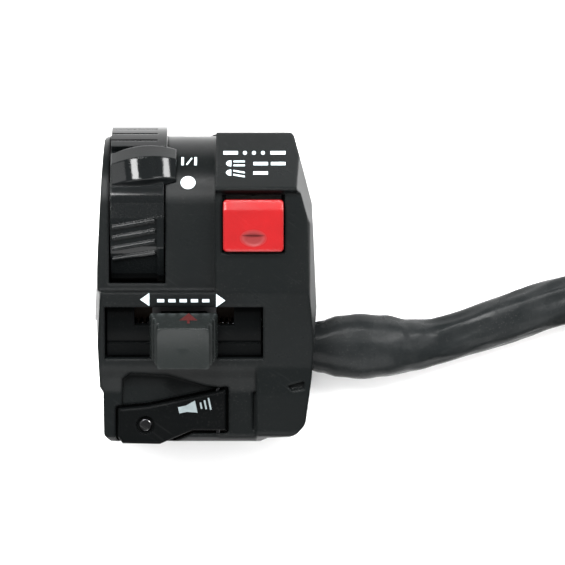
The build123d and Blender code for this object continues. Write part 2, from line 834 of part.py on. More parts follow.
def make_turn_base():
    half_y = slider_half_y + clear + rail_thick
    low = turn_board_top
    body = block((-turn_base_half_x, turn_base_half_x), (-half_y, half_y), (low, turn_base_top))
    ear_z = (turn_base_top - ear_depth, turn_base_top)
    for x, y in turn_ears:
        body += rod(ear_radius, (x, y, ear_z[0]), (x, y, ear_z[1]))
        body += block((x - ear_radius, x + ear_radius), (min(y, 0), max(y, 0)), ear_z)
    inner_x = turn_base_half_x - turn_base_end
    inner_y = slider_half_y + clear
    body -= block((-inner_x, inner_x), (-inner_y, inner_y), (low, turn_base_top))
    for x, y in turn_ears:
        body -= rod(small_screw_radius, (x, y, ear_z[0]), (x, y, ear_z[1]))
    return panel * body


def make_turn_board():
    half_y = slider_half_y + clear + rail_thick
    low = turn_board_top - board_thick
    board = block((-turn_base_half_x, turn_base_half_x), (-half_y, half_y), (low, turn_board_top))
    for x in turn_contact_places():
        board -= rod(rivet_radius / 2, (x, 0, low), (x, 0, turn_board_top))
    return panel * board


def turn_contact_places():
    return [step * turn_travel for step in (-1, 0, 1)]


def make_turn_contacts():
    low = turn_board_top - board_thick
    rivets = [rivet(x, 0, low, turn_board_top) for x in turn_contact_places()]
    return Compound(children=[panel * one for one in rivets])


def make_turn_blade():
    half = slider_half_x - overrun
    blade = block((-half, half), (-rivet_radius, rivet_radius), (slider_low - blade_thick, slider_low))
    return panel * blade


def make_turn_springs():
    inner_x = turn_base_half_x - turn_base_end
    length = inner_x - slider_half_x
    middle_z = (slider_low + slider_top) / 2
    spring = coil(turn_spring_radius, spring_wire, length, centring_turns)
    springs = []
    for side in (-1, 1):
        springs.append(panel * Pos(side * inner_x, 0, middle_z) * Rot(0, -90 * side, 0) * spring)
    return Compound(children=springs)


def make_cancel_spring():
    low = slider_low + slider_floor
    spring = coil(cancel_spring_radius, spring_wire, neck_low - low, spring_turns)
    return panel * Pos(0, 0, low) * spring


def make_horn_lever():
    body = along_z(flat(outline(horn_shares)), horn_low, horn_high)
    rim = body.edges().group_by(Axis.Z)[-1]
    body = fillet(rim, horn_round)
    low, high = horn_knuckle()
    body += rod(knuckle_radius, (horn_pin_x, low, horn_pin_z), (horn_pin_x, high, horn_pin_z))
    body -= rod(pin_radius + slip, (horn_pin_x, -past * 2, horn_pin_z), (horn_pin_x, 0, horn_pin_z))
    well = horn_screw_place()
    body -= boss(well, horn_screw_well, horn_high - horn_screw_well_depth, past)
    body -= boss(well, small_screw_radius, horn_low, past)
    return body


def horn_screw_place():
    return outline([horn_screw_shares])[0]


def make_horn_screw():
    place = horn_screw_place()
    seat = horn_high - horn_screw_well_depth
    head = boss(place, horn_screw_head, seat, seat + horn_screw_head_thick)
    head = fillet(head.edges().group_by(Axis.Z)[-1], rib_round)
    return head + boss(place, small_screw_radius - slip, horn_low, seat)


def make_horn_pin():
    low, high = horn_pin_stretch()
    return rod(pin_radius, (horn_pin_x, low + clear, horn_pin_z), (horn_pin_x, high - clear, horn_pin_z))


def make_horn_spring():
    spring = coil(horn_spring_radius, spring_wire, horn_low - horn_floor, spring_turns)
    return Pos(*horn_spring_at, horn_floor) * spring


def make_horn_plunger():
    return boss(horn_plunger_at, horn_plunger_radius, horn_base_top + horn_plunger_gap, horn_low)


def make_horn_base():
    (left, low_y), (right, high_y) = outline(horn_base_shares)
    low = horn_base_top - horn_base_thick
    body = block((left, right), (low_y, high_y), (low, horn_base_top))
    for place in horn_posts:
        body -= boss(place, small_screw_radius, low, horn_base_top)
    return body


def make_horn_contact():
    """A brass strip on the base, under the plunger."""
    x, y = horn_plunger_at
    high = horn_base_top + 2 * blade_thick
    half = 2 * rivet_radius
    strip_y = (y - rivet_radius, y + rivet_radius)
    strip = block((x - half, x + half), strip_y, (horn_base_top, high - blade_thick))
    return strip + boss((x, y), rivet_radius, horn_base_top, high)


def clamp_feet():
    reach = sleeve_radius + slip + clamp_thick + clamp_foot / 2
    return exit_y - reach, exit_y + reach


def make_harness_clamp():
    inner = sleeve_radius + slip
    outer = inner + clamp_thick
    low = clamp_foot_z - exit_z
    face = Circle(outer) + flat([(-outer, 0), (outer, 0), (outer, low), (-outer, low)])
    face -= Circle(inner) + flat([(-inner, 0), (inner, 0), (inner, -past), (-inner, -past)])
    face = face & flat([(-past, past), (past, past), (past, low), (-past, low)])
    body = along_x(Pos(exit_y, exit_z) * face, clamp_from, clamp_from + clamp_width)
    for side, y in zip((-1, 1), clamp_feet()):
        foot = (exit_y + side * inner, exit_y + side * (outer + clamp_foot))
        body += block(
            (clamp_from, clamp_from + clamp_width), (min(foot), max(foot)),
            (clamp_foot_z - clamp_thick / 2, clamp_foot_z + clamp_thick / 2),
        )
        body -= boss((clamp_from + clamp_width / 2, y), small_screw_radius, -past, past)
    return body


def make_clamp_screws():
    screws = []
    for y in clamp_feet():
        x = clamp_from + clamp_width / 2
        top = clamp_foot_z + clamp_thick / 2
        head = boss((x, y), small_head_radius, top, top + small_head_thick)
        shank = boss((x, y), small_screw_radius - slip, -reach_front + wall + clear, top)
        screws.append(head + shank)
    return Compound(children=screws)


def corner_radii(route, share):
    """The largest tangent arcs that the runs on either side of each corner allow."""
    points = [Vector(*point) for point in route]
    radii = []
    for before, here, after in zip(points, points[1:], points[2:]):
        turn = (here - before).get_angle(after - here)
        run = min((here - before).length, (after - here).length)
        radii.append(share * run / math.tan(math.radians(turn / 2)))
    return radii


def pipe(route, radius):
    """A round tube along straight runs joined by tangent arcs."""
    path = FilletPolyline(*route, radius=corner_radii(route, arc_share))
    return sweep(Plane(origin=path @ 0, z_dir=path % 0) * Circle(radius), path=path), path


def make_sleeve():
    route = [(sleeve_inner_x, exit_y, exit_z)] + sleeve_route
    body, path = pipe(route, sleeve_radius)
    expected = math.pi * sleeve_radius ** 2 * path.length
    print("sleeve radii", [round(radius, 1) for radius in corner_radii(route, arc_share)])
    print("sleeve length", round(path.length, 1), "volume share", round(body.volume / expected, 4))
    return body, path


def make_switch_leads():
    """Leads from the sleeve's inner end to the three switches."""
    board = panel * Pos(0, 0, turn_board_top - board_thick) * Pos(contact_pitch, contact_pitch, 0)
    turn_end = board.position
    y, z = exit_y, exit_z
    bend_x = sleeve_inner_x - 2 * wall
    right, high_y = outline(horn_base_shares)[1]
    horn_x, horn_y = right - ring_wall, high_y - wall
    horn_z = horn_base_top - horn_base_thick - clear
    dimmer_x, dimmer_y = base_left + wall, dimmer_base_low_y + wall
    routes = [
        [(sleeve_inner_x, y + lead_ring_radius, z), (bend_x, y + lead_ring_radius, z),
         (turn_end.X, turn_end.Y - overrun, turn_end.Z - ring_wall),
         (turn_end.X, turn_end.Y, turn_end.Z - clear)],
        [(sleeve_inner_x, y - lead_ring_radius, z), (bend_x, y - lead_ring_radius, z),
         (horn_x, horn_y - overrun, z + wall), (horn_x, horn_y, horn_z)],
        [(sleeve_inner_x, y, z + lead_ring_radius), (bend_x, y, z + lead_ring_radius),
         (dimmer_x, dimmer_y - overrun, ring_wall), (dimmer_x, dimmer_y, dimmer_board_z - clear)],
    ]
    return Compound(children=[pipe(route, lead_radius)[0] for route in routes])


def tail_frame(path):
    """Where the sleeve ends: local Z runs on along it, local Y points up."""
    return Plane(origin=path @ 1, x_dir=Vector(0, 0, 1).cross(path % 1), z_dir=path % 1)


def make_tail_leads(frame):
    leads = []
    columns, rows = plug_pins
    for index in range(lead_count):
        angle = 2 * math.pi * index / (lead_count - 1)
        ring = lead_ring_radius * (index > 0)
        start = (ring * math.cos(angle), ring * math.sin(angle))
        column, row = index % columns, index // columns
        end = pin_place(column, row)
        route = [
            (*start, 0), (*start, tail_straight),
            (*end, tail_length - tail_straight), (*end, tail_length),
        ]
        leads.append(frame.location * pipe(route, lead_radius)[0])
    return Compound(children=leads)


def pin_place(column, row):
    columns, rows = plug_pins
    pitch_x = (plug_width - 2 * plug_wall) / columns
    pitch_y = (plug_height - 2 * plug_wall) / rows
    return (column - (columns - 1) / 2) * pitch_x, (row - (rows - 1) / 2) * pitch_y


def make_tape(frame):
    start, end = (0, 0, -tape_length), (0, 0, 0)
    return frame.location * (rod(sleeve_radius + tape_thick, start, end) - rod(sleeve_radius, start, end))


def terminal_blocks(half, low, high):
    """One small bar for each place in the connector."""
    bars = []
    for column in range(plug_pins[0]):
        for row in range(plug_pins[1]):
            x, y = pin_place(column, row)
            bars.append(block((x - half, x + half), (y - half / 2, y + half / 2), (low, high)))
    return bars


def make_plug(frame):
    half_x, half_y = plug_width / 2, plug_height / 2
    high = tail_length + plug_length
    floor = high - plug_depth
    body = block((-half_x, half_x), (-half_y, half_y), (tail_length, high))
    body = fillet(body.edges().filter_by(Axis.Z), plug_round)
    mouth_x, mouth_y = half_x - plug_wall, half_y - plug_wall
    body -= block((-mouth_x, mouth_x), (-mouth_y, mouth_y), (floor, high))
    body += block((-latch_half, latch_half), (half_y, half_y + plug_wall), (floor, high - plug_wall))
    for bar in terminal_blocks(terminal_half, floor - terminal_root, floor):
        body -= bar
    return frame.location * body


def make_terminals(frame):
    floor = tail_length + plug_length - plug_depth
    bars = terminal_blocks(terminal_half - slip, floor - terminal_root, floor + terminal_reach)
    return Compound(children=[frame.location * bar for bar in bars])


def main():
    outer = hull(0)
    hollow = hull(wall)
    sleeve, path = make_sleeve()
    frame = tail_frame(path)
    save(
        rear_housing=make_rear_housing(outer, hollow),
        front_housing=make_front_housing(outer, hollow),
        housing_screws=make_housing_screws(),
        threaded_inserts=make_threaded_inserts(),
        choke_lever=make_choke_lever(),
        choke_friction_washer=make_choke_washer(),
        dimmer_rocker=make_rocker(),
        dimmer_moving_contact=make_rocker_contact(),
        dimmer_plunger=make_rocker_plunger(),
        dimmer_pivot_pin=make_dimmer_pin(),
        dimmer_base=make_dimmer_base(),
        dimmer_terminal_board=make_dimmer_board(),
        dimmer_fixed_contacts=make_dimmer_contacts(),
        switch_base_screws=Compound(children=[small_screw(*row) for row in small_screws()]),
        turn_knob=make_turn_knob(),
        turn_cover=make_turn_cover(),
        turn_slider=make_turn_slider(),
        turn_base=make_turn_base(),
        turn_terminal_board=make_turn_board(),
        turn_fixed_contacts=make_turn_contacts(),
        turn_moving_contact=make_turn_blade(),
        turn_centring_springs=make_turn_springs(),
        turn_cancel_spring=make_cancel_spring(),
        horn_lever=make_horn_lever(),
        horn_lever_screw=make_horn_screw(),
        horn_hinge_pin=make_horn_pin(),
        horn_return_spring=make_horn_spring(),
        horn_plunger=make_horn_plunger(),
        horn_base=make_horn_base(),
        horn_fixed_contact=make_horn_contact(),
        harness_clamp=make_harness_clamp(),
        harness_clamp_screws=make_clamp_screws(),
        switch_leads=make_switch_leads(),
        harness_sleeve=sleeve,
        sleeve_end_tape=make_tape(frame),
        connector_leads=make_tail_leads(frame),
        connector_housing=make_plug(frame),
        connector_terminals=make_terminals(frame),
    )


main()
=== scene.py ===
import json
import math

import bmesh
import bpy
from bpy.props import FloatProperty, FloatVectorProperty, IntProperty, PointerProperty
from mathutils import Matrix, Vector, noise
from mathutils.bvhtree import BVHTree


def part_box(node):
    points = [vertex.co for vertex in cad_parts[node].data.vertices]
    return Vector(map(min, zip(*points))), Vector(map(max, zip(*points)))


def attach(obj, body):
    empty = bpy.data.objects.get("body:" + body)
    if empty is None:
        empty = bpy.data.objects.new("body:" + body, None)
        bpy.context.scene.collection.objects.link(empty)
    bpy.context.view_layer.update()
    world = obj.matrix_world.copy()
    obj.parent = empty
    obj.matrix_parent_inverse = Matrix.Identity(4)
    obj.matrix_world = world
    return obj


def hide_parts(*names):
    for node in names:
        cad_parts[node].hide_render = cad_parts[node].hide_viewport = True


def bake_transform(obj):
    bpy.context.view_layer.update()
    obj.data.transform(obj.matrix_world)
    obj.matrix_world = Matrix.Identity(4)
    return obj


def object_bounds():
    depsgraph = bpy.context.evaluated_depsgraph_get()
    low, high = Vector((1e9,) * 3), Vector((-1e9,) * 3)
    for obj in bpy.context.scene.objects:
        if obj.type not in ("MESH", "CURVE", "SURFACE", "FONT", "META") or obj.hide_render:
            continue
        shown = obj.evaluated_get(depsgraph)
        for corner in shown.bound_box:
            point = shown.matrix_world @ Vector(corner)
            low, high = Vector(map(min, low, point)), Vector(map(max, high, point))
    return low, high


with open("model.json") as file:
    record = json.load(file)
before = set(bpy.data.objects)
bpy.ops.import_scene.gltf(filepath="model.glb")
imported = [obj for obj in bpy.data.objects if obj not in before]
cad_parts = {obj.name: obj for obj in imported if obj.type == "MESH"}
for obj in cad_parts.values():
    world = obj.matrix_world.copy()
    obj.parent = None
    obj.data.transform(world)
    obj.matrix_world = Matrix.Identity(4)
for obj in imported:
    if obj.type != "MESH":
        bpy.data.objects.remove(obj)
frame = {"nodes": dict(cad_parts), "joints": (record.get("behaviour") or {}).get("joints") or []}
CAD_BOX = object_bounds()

bl_info = {
    "name": "Handlebar Switch Cluster",
    "version": (1, 0, 0),
    "blender": (4, 5, 0),
    "location": "View3D > Sidebar > Switches",
    "description": "Dresses the handlebar switch cluster: plastics, legends, harness and studio",
    "category": "Object",
}

NODES = frame["nodes"]
TABLE_Z = CAD_BOX[0].z
MM = 0.001
UP = Vector((0, 0, 1))

# The photograph's pixel at the frame's origin, and its pixels to the millimetre
PHOTO_ORIGIN = (206.0, 204.0)
PHOTO_SCALE = 4.0

# The studio, in metres
FLOOR_SIZE = 1.6
VIEW_MIDDLE = (0.019125, -0.019625)
BUTTON_HEIGHT = 0.012
WORLD_LIGHT = 0.6
# Name, place, width and depth, and share of the key power
LIGHTS = [
    ("left_softbox", (-0.75, 0.25, 0.55), (0.55, 0.55), 0.3),
    ("right_softbox", (0.75, 0.15, 0.6), (0.5, 0.5), 0.25),
    ("near_softbox", (0.05, -0.72, 0.63), (0.6, 0.6), 0.4),
    ("far_left_strip", (-0.24, 0.46, 0.86), (0.16, 0.6), 1.35),
    ("far_right_strip", (0.48, 0.42, 0.76), (0.09, 0.6), 0.65),
    ("far_thin_strip", (0.06, 0.62, 0.76), (0.5, 0.045), 0.4),
]

# The harness route of the CAD source, in metres
SLEEVE_ROUTE = [
    (0.012, -0.036, -0.0095), (0.038, -0.036, -0.0095), (0.055, -0.0358, -0.0131),
    (0.071, -0.031, -0.01325), (0.093, -0.023, -0.01325), (0.127, -0.018, -0.01325),
    (0.162, -0.025, -0.01325), (0.193, -0.047, -0.01325), (0.208, -0.082, -0.01325),
    (0.201, -0.118, -0.01325), (0.175, -0.143, -0.01325), (0.1443, -0.1473, -0.01325),
    (0.1185, -0.1353, -0.013), (0.1046, -0.1122, -0.0127), (0.1046, -0.0882, -0.0127),
]
# Half widths of the sleeve: (distance from its inner end, half width), and the width they suit
SLEEVE_SWELL = [
    (0.0, 0.0061), (0.0135, 0.0062), (0.0165, 0.0070), (0.0215, 0.0083), (0.027, 0.0088),
    (0.033, 0.0082), (0.040, 0.0071), (0.047, 0.0063), (0.054, 0.0062), (0.064, 0.0066),
    (0.09, 0.0066), (0.39, 0.0063), (0.41, 0.0060),
]
SLEEVE_WIDTH = 0.0125
SLEEVE_SIDES = 40
# Most that the sleeve rises over its line, and its least height over the table
SLEEVE_HALF_HEIGHT = 0.0063
TABLE_GAP = 0.00002
# The sleeve is round as far as its port's mouth and slack from this much further on
PORT_MOUTH = 0.016
SLACK_LENGTH = 0.02

TAPE_RADIUS = 0.00634
TAPE_LAP = 0.00036
TAPE_SIDES = 48
TAPE_STEPS = 60

LEAD_RADIUS = 0.0008
LEAD_SIDES = 16
# Six leads leave the sleeve in a ring round the seventh, and run straight at both ends
LEAD_RING = 0.0034
LEAD_STRAIGHT = 0.008
LEAD_COLOURS = [
    (0.012, 0.012, 0.012), (0.28, 0.012, 0.012), (0.012, 0.06, 0.22), (0.38, 0.28, 0.02),
    (0.02, 0.15, 0.03), (0.38, 0.36, 0.33), (0.12, 0.045, 0.014),
]
CONNECTOR_SIZE = (0.017, 0.013)
CONNECTOR_WALLS = 0.0026

# The rocker's dimple, where shade is painted into the colour, in metres seen from above
DIMPLE_MIDDLE = (0.0119, -0.0087)
DIMPLE_REACH = (0.0031, 0.0020)

# Printed marks: longest edge in millimetres, rounds of cutting, and where the rays start
INK_STEP = 0.4
INK_CUTS = 6
INK_RAY_HEIGHT = 0.1

OXIDE = (0.03, 0.03, 0.032)
OXIDE_SHINE = (0.15, 0.25)
BRIGHT_WIRE = (0.48, 0.48, 0.50)

# A Mix node's sockets for colours: their names belong to its other types too
MIX_FIRST, MIX_SECOND, MIX_RESULT = 6, 7, 2


# Shader building

def new_group(name, inputs, outputs):
    """An empty shader node group with float sockets, and its two end nodes."""
    group = bpy.data.node_groups.new(name, "ShaderNodeTree")
    for label, default in inputs:
        socket = group.interface.new_socket(label, in_out="INPUT", socket_type="NodeSocketFloat")
        socket.default_value = default
    for label in outputs:
        group.interface.new_socket(label, in_out="OUTPUT", socket_type="NodeSocketFloat")
    start = group.nodes.new("NodeGroupInput")
    end = group.nodes.new("NodeGroupOutput")
    return group, start, end


def set_socket(tree, socket, value):
    """Links a socket, or sets its own value."""
    if isinstance(value, bpy.types.NodeSocket):
        tree.links.new(value, socket)
    else:
        socket.default_value = value


def object_place(tree):
    return tree.nodes.new("ShaderNodeTexCoord").outputs["Object"]


def noise_node(tree, vector, scale, detail=2.0, roughness=0.5):
    texture = tree.nodes.new("ShaderNodeTexNoise")
    tree.links.new(vector, texture.inputs["Vector"])
    set_socket(tree, texture.inputs["Scale"], scale)
    texture.inputs["Detail"].default_value = detail
    texture.inputs["Roughness"].default_value = roughness
    return texture.outputs["Fac"]


def map_range(tree, value, low, high, to_low=0.0, to_high=1.0):
    mapped = tree.nodes.new("ShaderNodeMapRange")
    labels = ("Value", "From Min", "From Max", "To Min", "To Max")
    for label, number in zip(labels, (value, low, high, to_low, to_high)):
        set_socket(tree, mapped.inputs[label], number)
    return mapped.outputs["Result"]


def math_node(tree, operation, first, second):
    result = tree.nodes.new("ShaderNodeMath")
    result.operation = operation
    for socket, value in zip(result.inputs, (first, second)):
        set_socket(tree, socket, value)
    return result.outputs[0]


def mix_colour(tree, mask, first, second):
    mixed = tree.nodes.new("ShaderNodeMix")
    mixed.data_type = "RGBA"
    tree.links.new(mask, mixed.inputs["Factor"])
    for index, value in ((MIX_FIRST, first), (MIX_SECOND, second)):
        colour = value if isinstance(value, bpy.types.NodeSocket) else (*value, 1.0)
        set_socket(tree, mixed.inputs[index], colour)
    return mixed.outputs[MIX_RESULT]


def scaled(colour, share):
    return tuple(part * share for part in colour)


def grain_group():
    """Fine moulding grain and slow colour patches, with their sizes in millimetres."""
    group, start, end = new_group(
        "Moulded Grain", [("Grain Size", 0.5), ("Patch Size", 14.0)], ["Height", "Patch"])
    place = object_place(group)
    fine = math_node(group, "DIVIDE", 1 / MM, start.outputs["Grain Size"])
    slow = math_node(group, "DIVIDE", 1 / MM, start.outputs["Patch Size"])
    grain = noise_node(group, place, fine, detail=3.0, roughness=0.6)
    group.links.new(grain, end.inputs["Height"])
    patch = noise_node(group, place, slow, detail=4.0, roughness=0.6)
    group.links.new(map_range(group, patch, 0.35, 0.65), end.inputs["Patch"])
    return group


def scuff_group():
    """Hairline scuffs that run one way, broken up by patches."""
    group, start, end = new_group("Hairline Scuffs", [("Density", 0.5), ("Turn", 0.6)], ["Mask"])
    place = object_place(group)
    turn = group.nodes.new("ShaderNodeVectorRotate")
    turn.rotation_type = "AXIS_ANGLE"
    group.links.new(place, turn.inputs["Vector"])
    group.links.new(start.outputs["Turn"], turn.inputs["Angle"])
    stretch = group.nodes.new("ShaderNodeMapping")
    stretch.inputs["Scale"].default_value = (60.0, 2600.0, 900.0)
    group.links.new(turn.outputs[0], stretch.inputs["Vector"])
    lines = map_range(group, noise_node(group, stretch.outputs[0], scale=1.0), 0.62, 0.70)
    patch = noise_node(group, place, scale=90.0, detail=3.0, roughness=0.6)
    mask = math_node(group, "MULTIPLY", lines, map_range(group, patch, 0.5, 0.62))
    mask = math_node(group, "MULTIPLY", mask, start.outputs["Density"])
    group.links.new(mask, end.inputs["Mask"])
    return group


def dust_group():
    """Fine pale dust that gathers where the surface faces up."""
    group, start, end = new_group("Settled Dust", [("Amount", 0.3)], ["Mask"])
    place = object_place(group)
    facing = group.nodes.new("ShaderNodeNewGeometry").outputs["Normal"]
    split = group.nodes.new("ShaderNodeSeparateXYZ")
    group.links.new(facing, split.inputs[0])
    level = map_range(group, split.outputs["Z"], 0.2, 1.0)
    grains = noise_node(group, place, scale=2400.0, detail=2.0, roughness=0.7)
    cloud = noise_node(group, place, scale=60.0, detail=3.0, roughness=0.6)
    mask = math_node(group, "MULTIPLY", map_range(group, grains, 0.60, 0.74),
                     map_range(group, cloud, 0.35, 0.75))
    mask = math_node(group, "MULTIPLY", mask, level)
    mask = math_node(group, "MULTIPLY", mask, start.outputs["Amount"])
    group.links.new(mask, end.inputs["Mask"])
    return group


BUILT = {}


def built_once(builder):
    """The node group that a builder makes, made at its first use."""
    if builder not in BUILT:
        BUILT[builder] = builder()
    return BUILT[builder]


def place_group(tree, builder, **values):
    placed = tree.nodes.new("ShaderNodeGroup")
    placed.node_tree = built_once(builder)
    for label, value in values.items():
        placed.inputs[label.replace("_", " ")].default_value = value
    return placed


def shader(name, roughness, metallic=0.0, level=0.5):
    """A material with a bare Principled shader; constants sit on its own sockets."""
    material = bpy.data.materials.new(name)
    material.use_nodes = True
    tree = material.node_tree
    surface = tree.nodes["Principled BSDF"]
    surface.inputs["Roughness"].default_value = roughness
    surface.inputs["Metallic"].default_value = metallic
    surface.inputs["Specular IOR Level"].default_value = level
    return material, tree, surface


def bump(tree, surface, height, distance, strength=1.0, edge=0.0):
    """A bump in metres, over edges softened by the given radius."""
    relief = tree.nodes.new("ShaderNodeBump")
    relief.inputs["Strength"].default_value = strength
    relief.inputs["Distance"].default_value = distance
    tree.links.new(height, relief.inputs["Height"])
    if edge:
        soft = tree.nodes.new("ShaderNodeBevel")
        soft.samples = 4
        soft.inputs["Radius"].default_value = edge
        tree.links.new(soft.outputs[0], relief.inputs["Normal"])
    tree.links.new(relief.outputs[0], surface.inputs["Normal"])


def plastic(name, colour, rough, grain, depth, edge, scuffs, dust, level=0.5, tint=0.8):
    """A moulded or painted finish: grain, colour drift, scuffs and a little dust.

    Grain, depth and edge are in millimetres, and tint darkens the colour's slow patches.
    """
    material, tree, surface = shader(name, rough[0], level=level)
    detail = place_group(tree, grain_group, Grain_Size=grain)
    scuff = place_group(tree, scuff_group, Density=scuffs)
    settled = place_group(tree, dust_group, Amount=dust)
    worn = tuple(min(1.0, part * 1.6 + 0.02) for part in colour)
    body = mix_colour(tree, detail.outputs["Patch"], colour, scaled(colour, tint))
    body = mix_colour(tree, scuff.outputs["Mask"], body, worn)
    body = mix_colour(tree, settled.outputs["Mask"], body, (0.35, 0.34, 0.32))
    tree.links.new(body, surface.inputs["Base Color"])
    shine = map_range(tree, detail.outputs["Patch"], 0.0, 1.0, *rough)
    scratched = math_node(tree, "MULTIPLY", scuff.outputs["Mask"], 0.12)
    tree.links.new(math_node(tree, "ADD", shine, scratched), surface.inputs["Roughness"])
    bump(tree, surface, detail.outputs["Height"], depth * MM, edge=edge * MM)
    return material


def metal(name, colour, rough=(0.25, 0.4)):
    """A plated or bare metal with turning marks and patchy shine."""
    material, tree, surface = shader(name, rough[0], metallic=1.0)
    detail = place_group(tree, grain_group, Grain_Size=0.3, Patch_Size=3.0)
    scuff = place_group(tree, scuff_group, Density=0.8)
    body = mix_colour(tree, detail.outputs["Patch"], colour, scaled(colour, 0.7))
    body = mix_colour(tree, scuff.outputs["Mask"], body, (0.9, 0.9, 0.88))
    tree.links.new(body, surface.inputs["Base Color"])
    shine = map_range(tree, detail.outputs["Patch"], 0.0, 1.0, *rough)
    tree.links.new(shine, surface.inputs["Roughness"])
    bump(tree, surface, detail.outputs["Height"], 0.008 * MM, edge=0.15 * MM)
    return material


def dress(material, *names):
    """Puts a material on CAD nodes, whose meshes stay as they are."""
    for name in names:
        for place in NODES[name].material_slots:
            place.link = "OBJECT"
            place.material = material


# Mesh building

def finish_piece(obj, material, body, replaced=None):
    """Gives a new piece its material, the body that it rides on and what it stands for."""
    obj.data.materials.clear()
    obj.data.materials.append(material)
    if replaced:
        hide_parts(replaced)
    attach(obj, body)
    return obj


def link_object(name, data):
    obj = bpy.data.objects.new(name, data)
    bpy.context.scene.collection.objects.link(obj)
    return obj


def mesh_object(name, bm):
    mesh = bpy.data.meshes.new(name)
    bm.to_mesh(mesh)
    bm.free()
    return link_object(name, mesh)


def plain_mesh(obj):
    """The mesh that an object comes to, in place of the object."""
    bpy.context.view_layer.update()
    evaluated = obj.evaluated_get(bpy.context.evaluated_depsgraph_get())
    mesh = bpy.data.meshes.new_from_object(evaluated)
    bpy.data.objects.remove(obj)
    return mesh


def smooth(obj):
    for face in obj.data.polygons:
        face.use_smooth = True


def spline_points(name, route, steps):
    """Points along the NURBS line through a route, as the curve itself gives them."""
    curve = bpy.data.curves.new(name, "CURVE")
    curve.dimensions = "3D"
    curve.resolution_u = steps
    line = curve.splines.new("NURBS")
    line.points.add(len(route) - 1)
    for point, place in zip(line.points, route):
        point.co = (*place, 1.0)
    line.order_u = 3
    line.use_endpoint_u = True
    mesh = plain_mesh(link_object(name, curve))
    points = [vertex.co.copy() for vertex in mesh.vertices]
    bpy.data.meshes.remove(mesh)
    bpy.data.curves.remove(curve)
    return points


def distances(points):
    """How far along the line each point is."""
    total, run = 0.0, [0.0]
    for before, here in zip(points, points[1:]):
        total += (here - before).length
        run.append(total)
    return run


def read_table(table, value):
    """A smooth reading between the rows of a (place, value) table."""
    for (low, first), (high, second) in zip(table, table[1:]):
        if value <= high:
            share = (value - low) / (high - low)
            share = share * share * (3 - 2 * share)
            return first + (second - first) * share
    return table[-1][1]


def ring_frames(points):
    """For each point, the level sideways direction and the upward one across the line."""
    frames = []
    for index in range(len(points)):
        before = points[max(index - 1, 0)]
        after = points[min(index + 1, len(points) - 1)]
        along = (after - before).normalized()
        side = along.cross(UP).normalized()
        frames.append((side, side.cross(along).normalized()))
    return frames


def round_ring(bm, middle, side, up, radii):
    """A ring of vertices round a point, one at each of the radii in turn."""
    ring = []
    for index, radius in enumerate(radii):
        angle = 2 * math.pi * index / len(radii)
        ring.append(bm.verts.new(middle + side * math.cos(angle) * radius
                                 + up * math.sin(angle) * radius))
    return ring


def skin(bm, rings, uv_layer, lengths):
    """Closes rings of vertices into a tube with end caps."""
    count = len(rings[0])
    for number, (first, second) in enumerate(zip(rings, rings[1:])):
        for index in range(count):
            after = (index + 1) % count
            face = bm.faces.new((first[index], first[after], second[after], second[index]))
            places = ((0, 0), (1, 0), (1, 1), (0, 1))
            for corner, (around, along) in zip(face.loops, places):
                corner[uv_layer].uv = ((index + around) / count, lengths[number + along])
    bm.faces.new(tuple(reversed(rings[0])))
    bm.faces.new(tuple(rings[-1]))
    bmesh.ops.recalc_face_normals(bm, faces=bm.faces)


def ray_target(name):
    """A CAD node's mesh at rest, for rays to meet."""
    mesh = NODES[name].data
    vertices = [vertex.co.copy() for vertex in mesh.vertices]
    faces = [tuple(face.vertices) for face in mesh.polygons]
    return BVHTree.FromPolygons(vertices, faces)


def geometry_node(tree, kind, **inputs):
    """A geometry node with some of its inputs set or linked."""
    made = tree.nodes.new(kind)
    for label, value in inputs.items():
        set_socket(tree, made.inputs[label.replace("_", " ")], value)
    return made


def mark_row_tree():
    """A row of like flat marks: bars when they have four sides, dots when they have many."""
    tree = bpy.data.node_groups.new("Mark Row", "GeometryNodeTree")
    tree.interface.new_socket("Geometry", in_out="OUTPUT", socket_type="NodeSocketGeometry")
    for label in ("Count", "Sides"):
        tree.interface.new_socket(label, in_out="INPUT", socket_type="NodeSocketInt")
    for label in ("Pitch", "Width", "Height"):
        tree.interface.new_socket(label, in_out="INPUT", socket_type="NodeSocketFloat")
    tree.interface.new_socket("Ink", in_out="INPUT", socket_type="NodeSocketMaterial")
    sizes = tree.nodes.new("NodeGroupInput").outputs
    pitch = geometry_node(tree, "ShaderNodeCombineXYZ", X=sizes["Pitch"])
    line = geometry_node(tree, "GeometryNodeMeshLine", Count=sizes["Count"],
                         Offset=pitch.outputs[0])
    corner = math_node(tree, "DIVIDE", math.pi, sizes["Sides"])
    reach = math_node(tree, "DIVIDE", 0.5, math_node(tree, "COSINE", corner, 0.0))
    mark = geometry_node(tree, "GeometryNodeMeshCircle", Vertices=sizes["Sides"], Radius=reach)
    mark.fill_type = "NGON"
    turn = geometry_node(tree, "ShaderNodeCombineXYZ", Z=corner)
    turned = geometry_node(tree, "GeometryNodeTransform", Geometry=mark.outputs[0],
                           Rotation=turn.outputs[0])
    size = geometry_node(tree, "ShaderNodeCombineXYZ", X=sizes["Width"], Y=sizes["Height"], Z=1.0)
    row = geometry_node(tree, "GeometryNodeInstanceOnPoints", Points=line.outputs[0],
                        Instance=turned.outputs[0], Scale=size.outputs[0])
    solid = geometry_node(tree, "GeometryNodeRealizeInstances", Geometry=row.outputs[0])
    inked = geometry_node(tree, "GeometryNodeSetMaterial", Geometry=solid.outputs[0],
                          Material=sizes["Ink"])
    geometry_node(tree, "NodeGroupOutput", Geometry=inked.outputs[0])
    return tree


